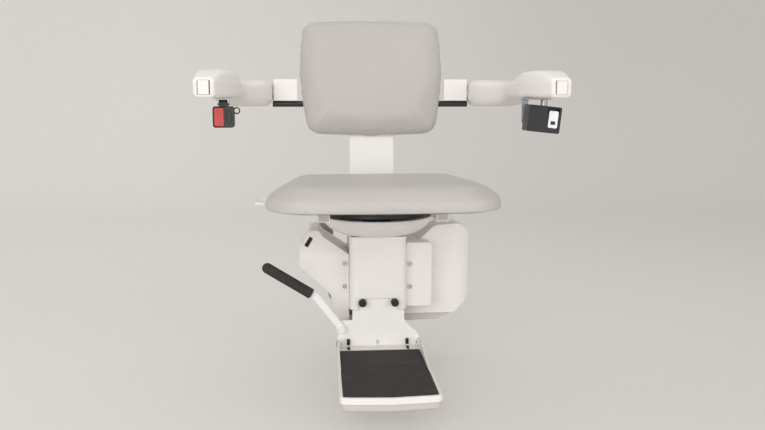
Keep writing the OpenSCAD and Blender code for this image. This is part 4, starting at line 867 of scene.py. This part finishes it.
class CHAIR_OT_stage(bpy.types.Operator):
    """Set the pale floor and backdrop, the soft lamps and the camera."""

    bl_idname = "chair.stage"
    bl_label = "Stage"

    def execute(self, context):
        scene = context.scene
        mesh = backdrop_sheet(CAD_BOX[0].z - scene.chair_stage.floor_gap)
        mesh.materials.append(backdrop_finish(scene.chair_stage.backdrop))
        backdrop = bpy.data.objects.new("Backdrop", mesh)
        scene.collection.objects.link(backdrop)
        for name, place, aim, power in LAMPS:
            data = bpy.data.lights.new(name, "AREA")
            data.shape = "SQUARE"
            data.size = LAMP_SIZE
            data.energy = power
            lamp = bpy.data.objects.new(name, data)
            lamp.location = place
            lamp.rotation_euler = (Vector(aim) - Vector(place)).to_track_quat("-Z", "Y").to_euler()
            scene.collection.objects.link(lamp)
        world = bpy.data.worlds.new("Studio")
        world.use_nodes = True
        sky = world.node_tree.nodes["Background"].inputs
        sky["Color"].default_value = SKY_COLOUR
        sky["Strength"].default_value = SKY_STRENGTH
        scene.world = world
        scene.view_settings.view_transform = "Standard"
        data = bpy.data.cameras.new("Camera")
        data.sensor_width = SENSOR
        data.lens = SENSOR * FOCAL_PIXELS / PICTURE_PIXELS
        camera = bpy.data.objects.new("Camera", data)
        camera.location = CAMERA_PLACE
        camera.rotation_euler = (math.radians(90 - CAMERA_DOWN), 0, math.radians(-CAMERA_ASIDE))
        scene.collection.objects.link(camera)
        scene.camera = camera
        return {"FINISHED"}


class CHAIR_PT_panel(bpy.types.Panel):
    """Lists the chair's pieces."""

    bl_label = "Stairlift chair"
    bl_idname = "CHAIR_PT_panel"
    bl_space_type = "VIEW_3D"
    bl_region_type = "UI"
    bl_category = "Chair"

    def draw(self, context):
        for group in (context.scene.chair_colours, context.scene.chair_sizes,
                      context.scene.chair_stage):
            box = self.layout.box()
            for key in group.bl_rna.properties.keys():
                if key not in ("rna_type", "name"):
                    box.prop(group, key)
        for operator in OPERATORS:
            self.layout.operator(operator.bl_idname)


OPERATORS = (
    CHAIR_OT_finishes,
    CHAIR_OT_seat_pad,
    CHAIR_OT_back_pad,
    CHAIR_OT_arms,
    CHAIR_OT_covers,
    CHAIR_OT_footrest,
    CHAIR_OT_seat_support,
    CHAIR_OT_belt,
    CHAIR_OT_running_gear,
    CHAIR_OT_stage,
)
CLASSES = (ChairColours, ChairSizes, ChairStage, *OPERATORS, CHAIR_PT_panel)


def register():
    for cls in CLASSES:
        bpy.utils.register_class(cls)
    bpy.types.Scene.chair_colours = PointerProperty(type=ChairColours)
    bpy.types.Scene.chair_sizes = PointerProperty(type=ChairSizes)
    bpy.types.Scene.chair_stage = PointerProperty(type=ChairStage)


def unregister():
    for name in ("chair_colours", "chair_sizes", "chair_stage"):
        delattr(bpy.types.Scene, name)
    for cls in reversed(CLASSES):
        bpy.utils.unregister_class(cls)


def main():
    """Makes the chair piece by piece."""
    register()
    for operator in OPERATORS:
        group, name = operator.bl_idname.split(".")
        getattr(getattr(bpy.ops, group), name)()


if __name__ == "__main__":
    main()
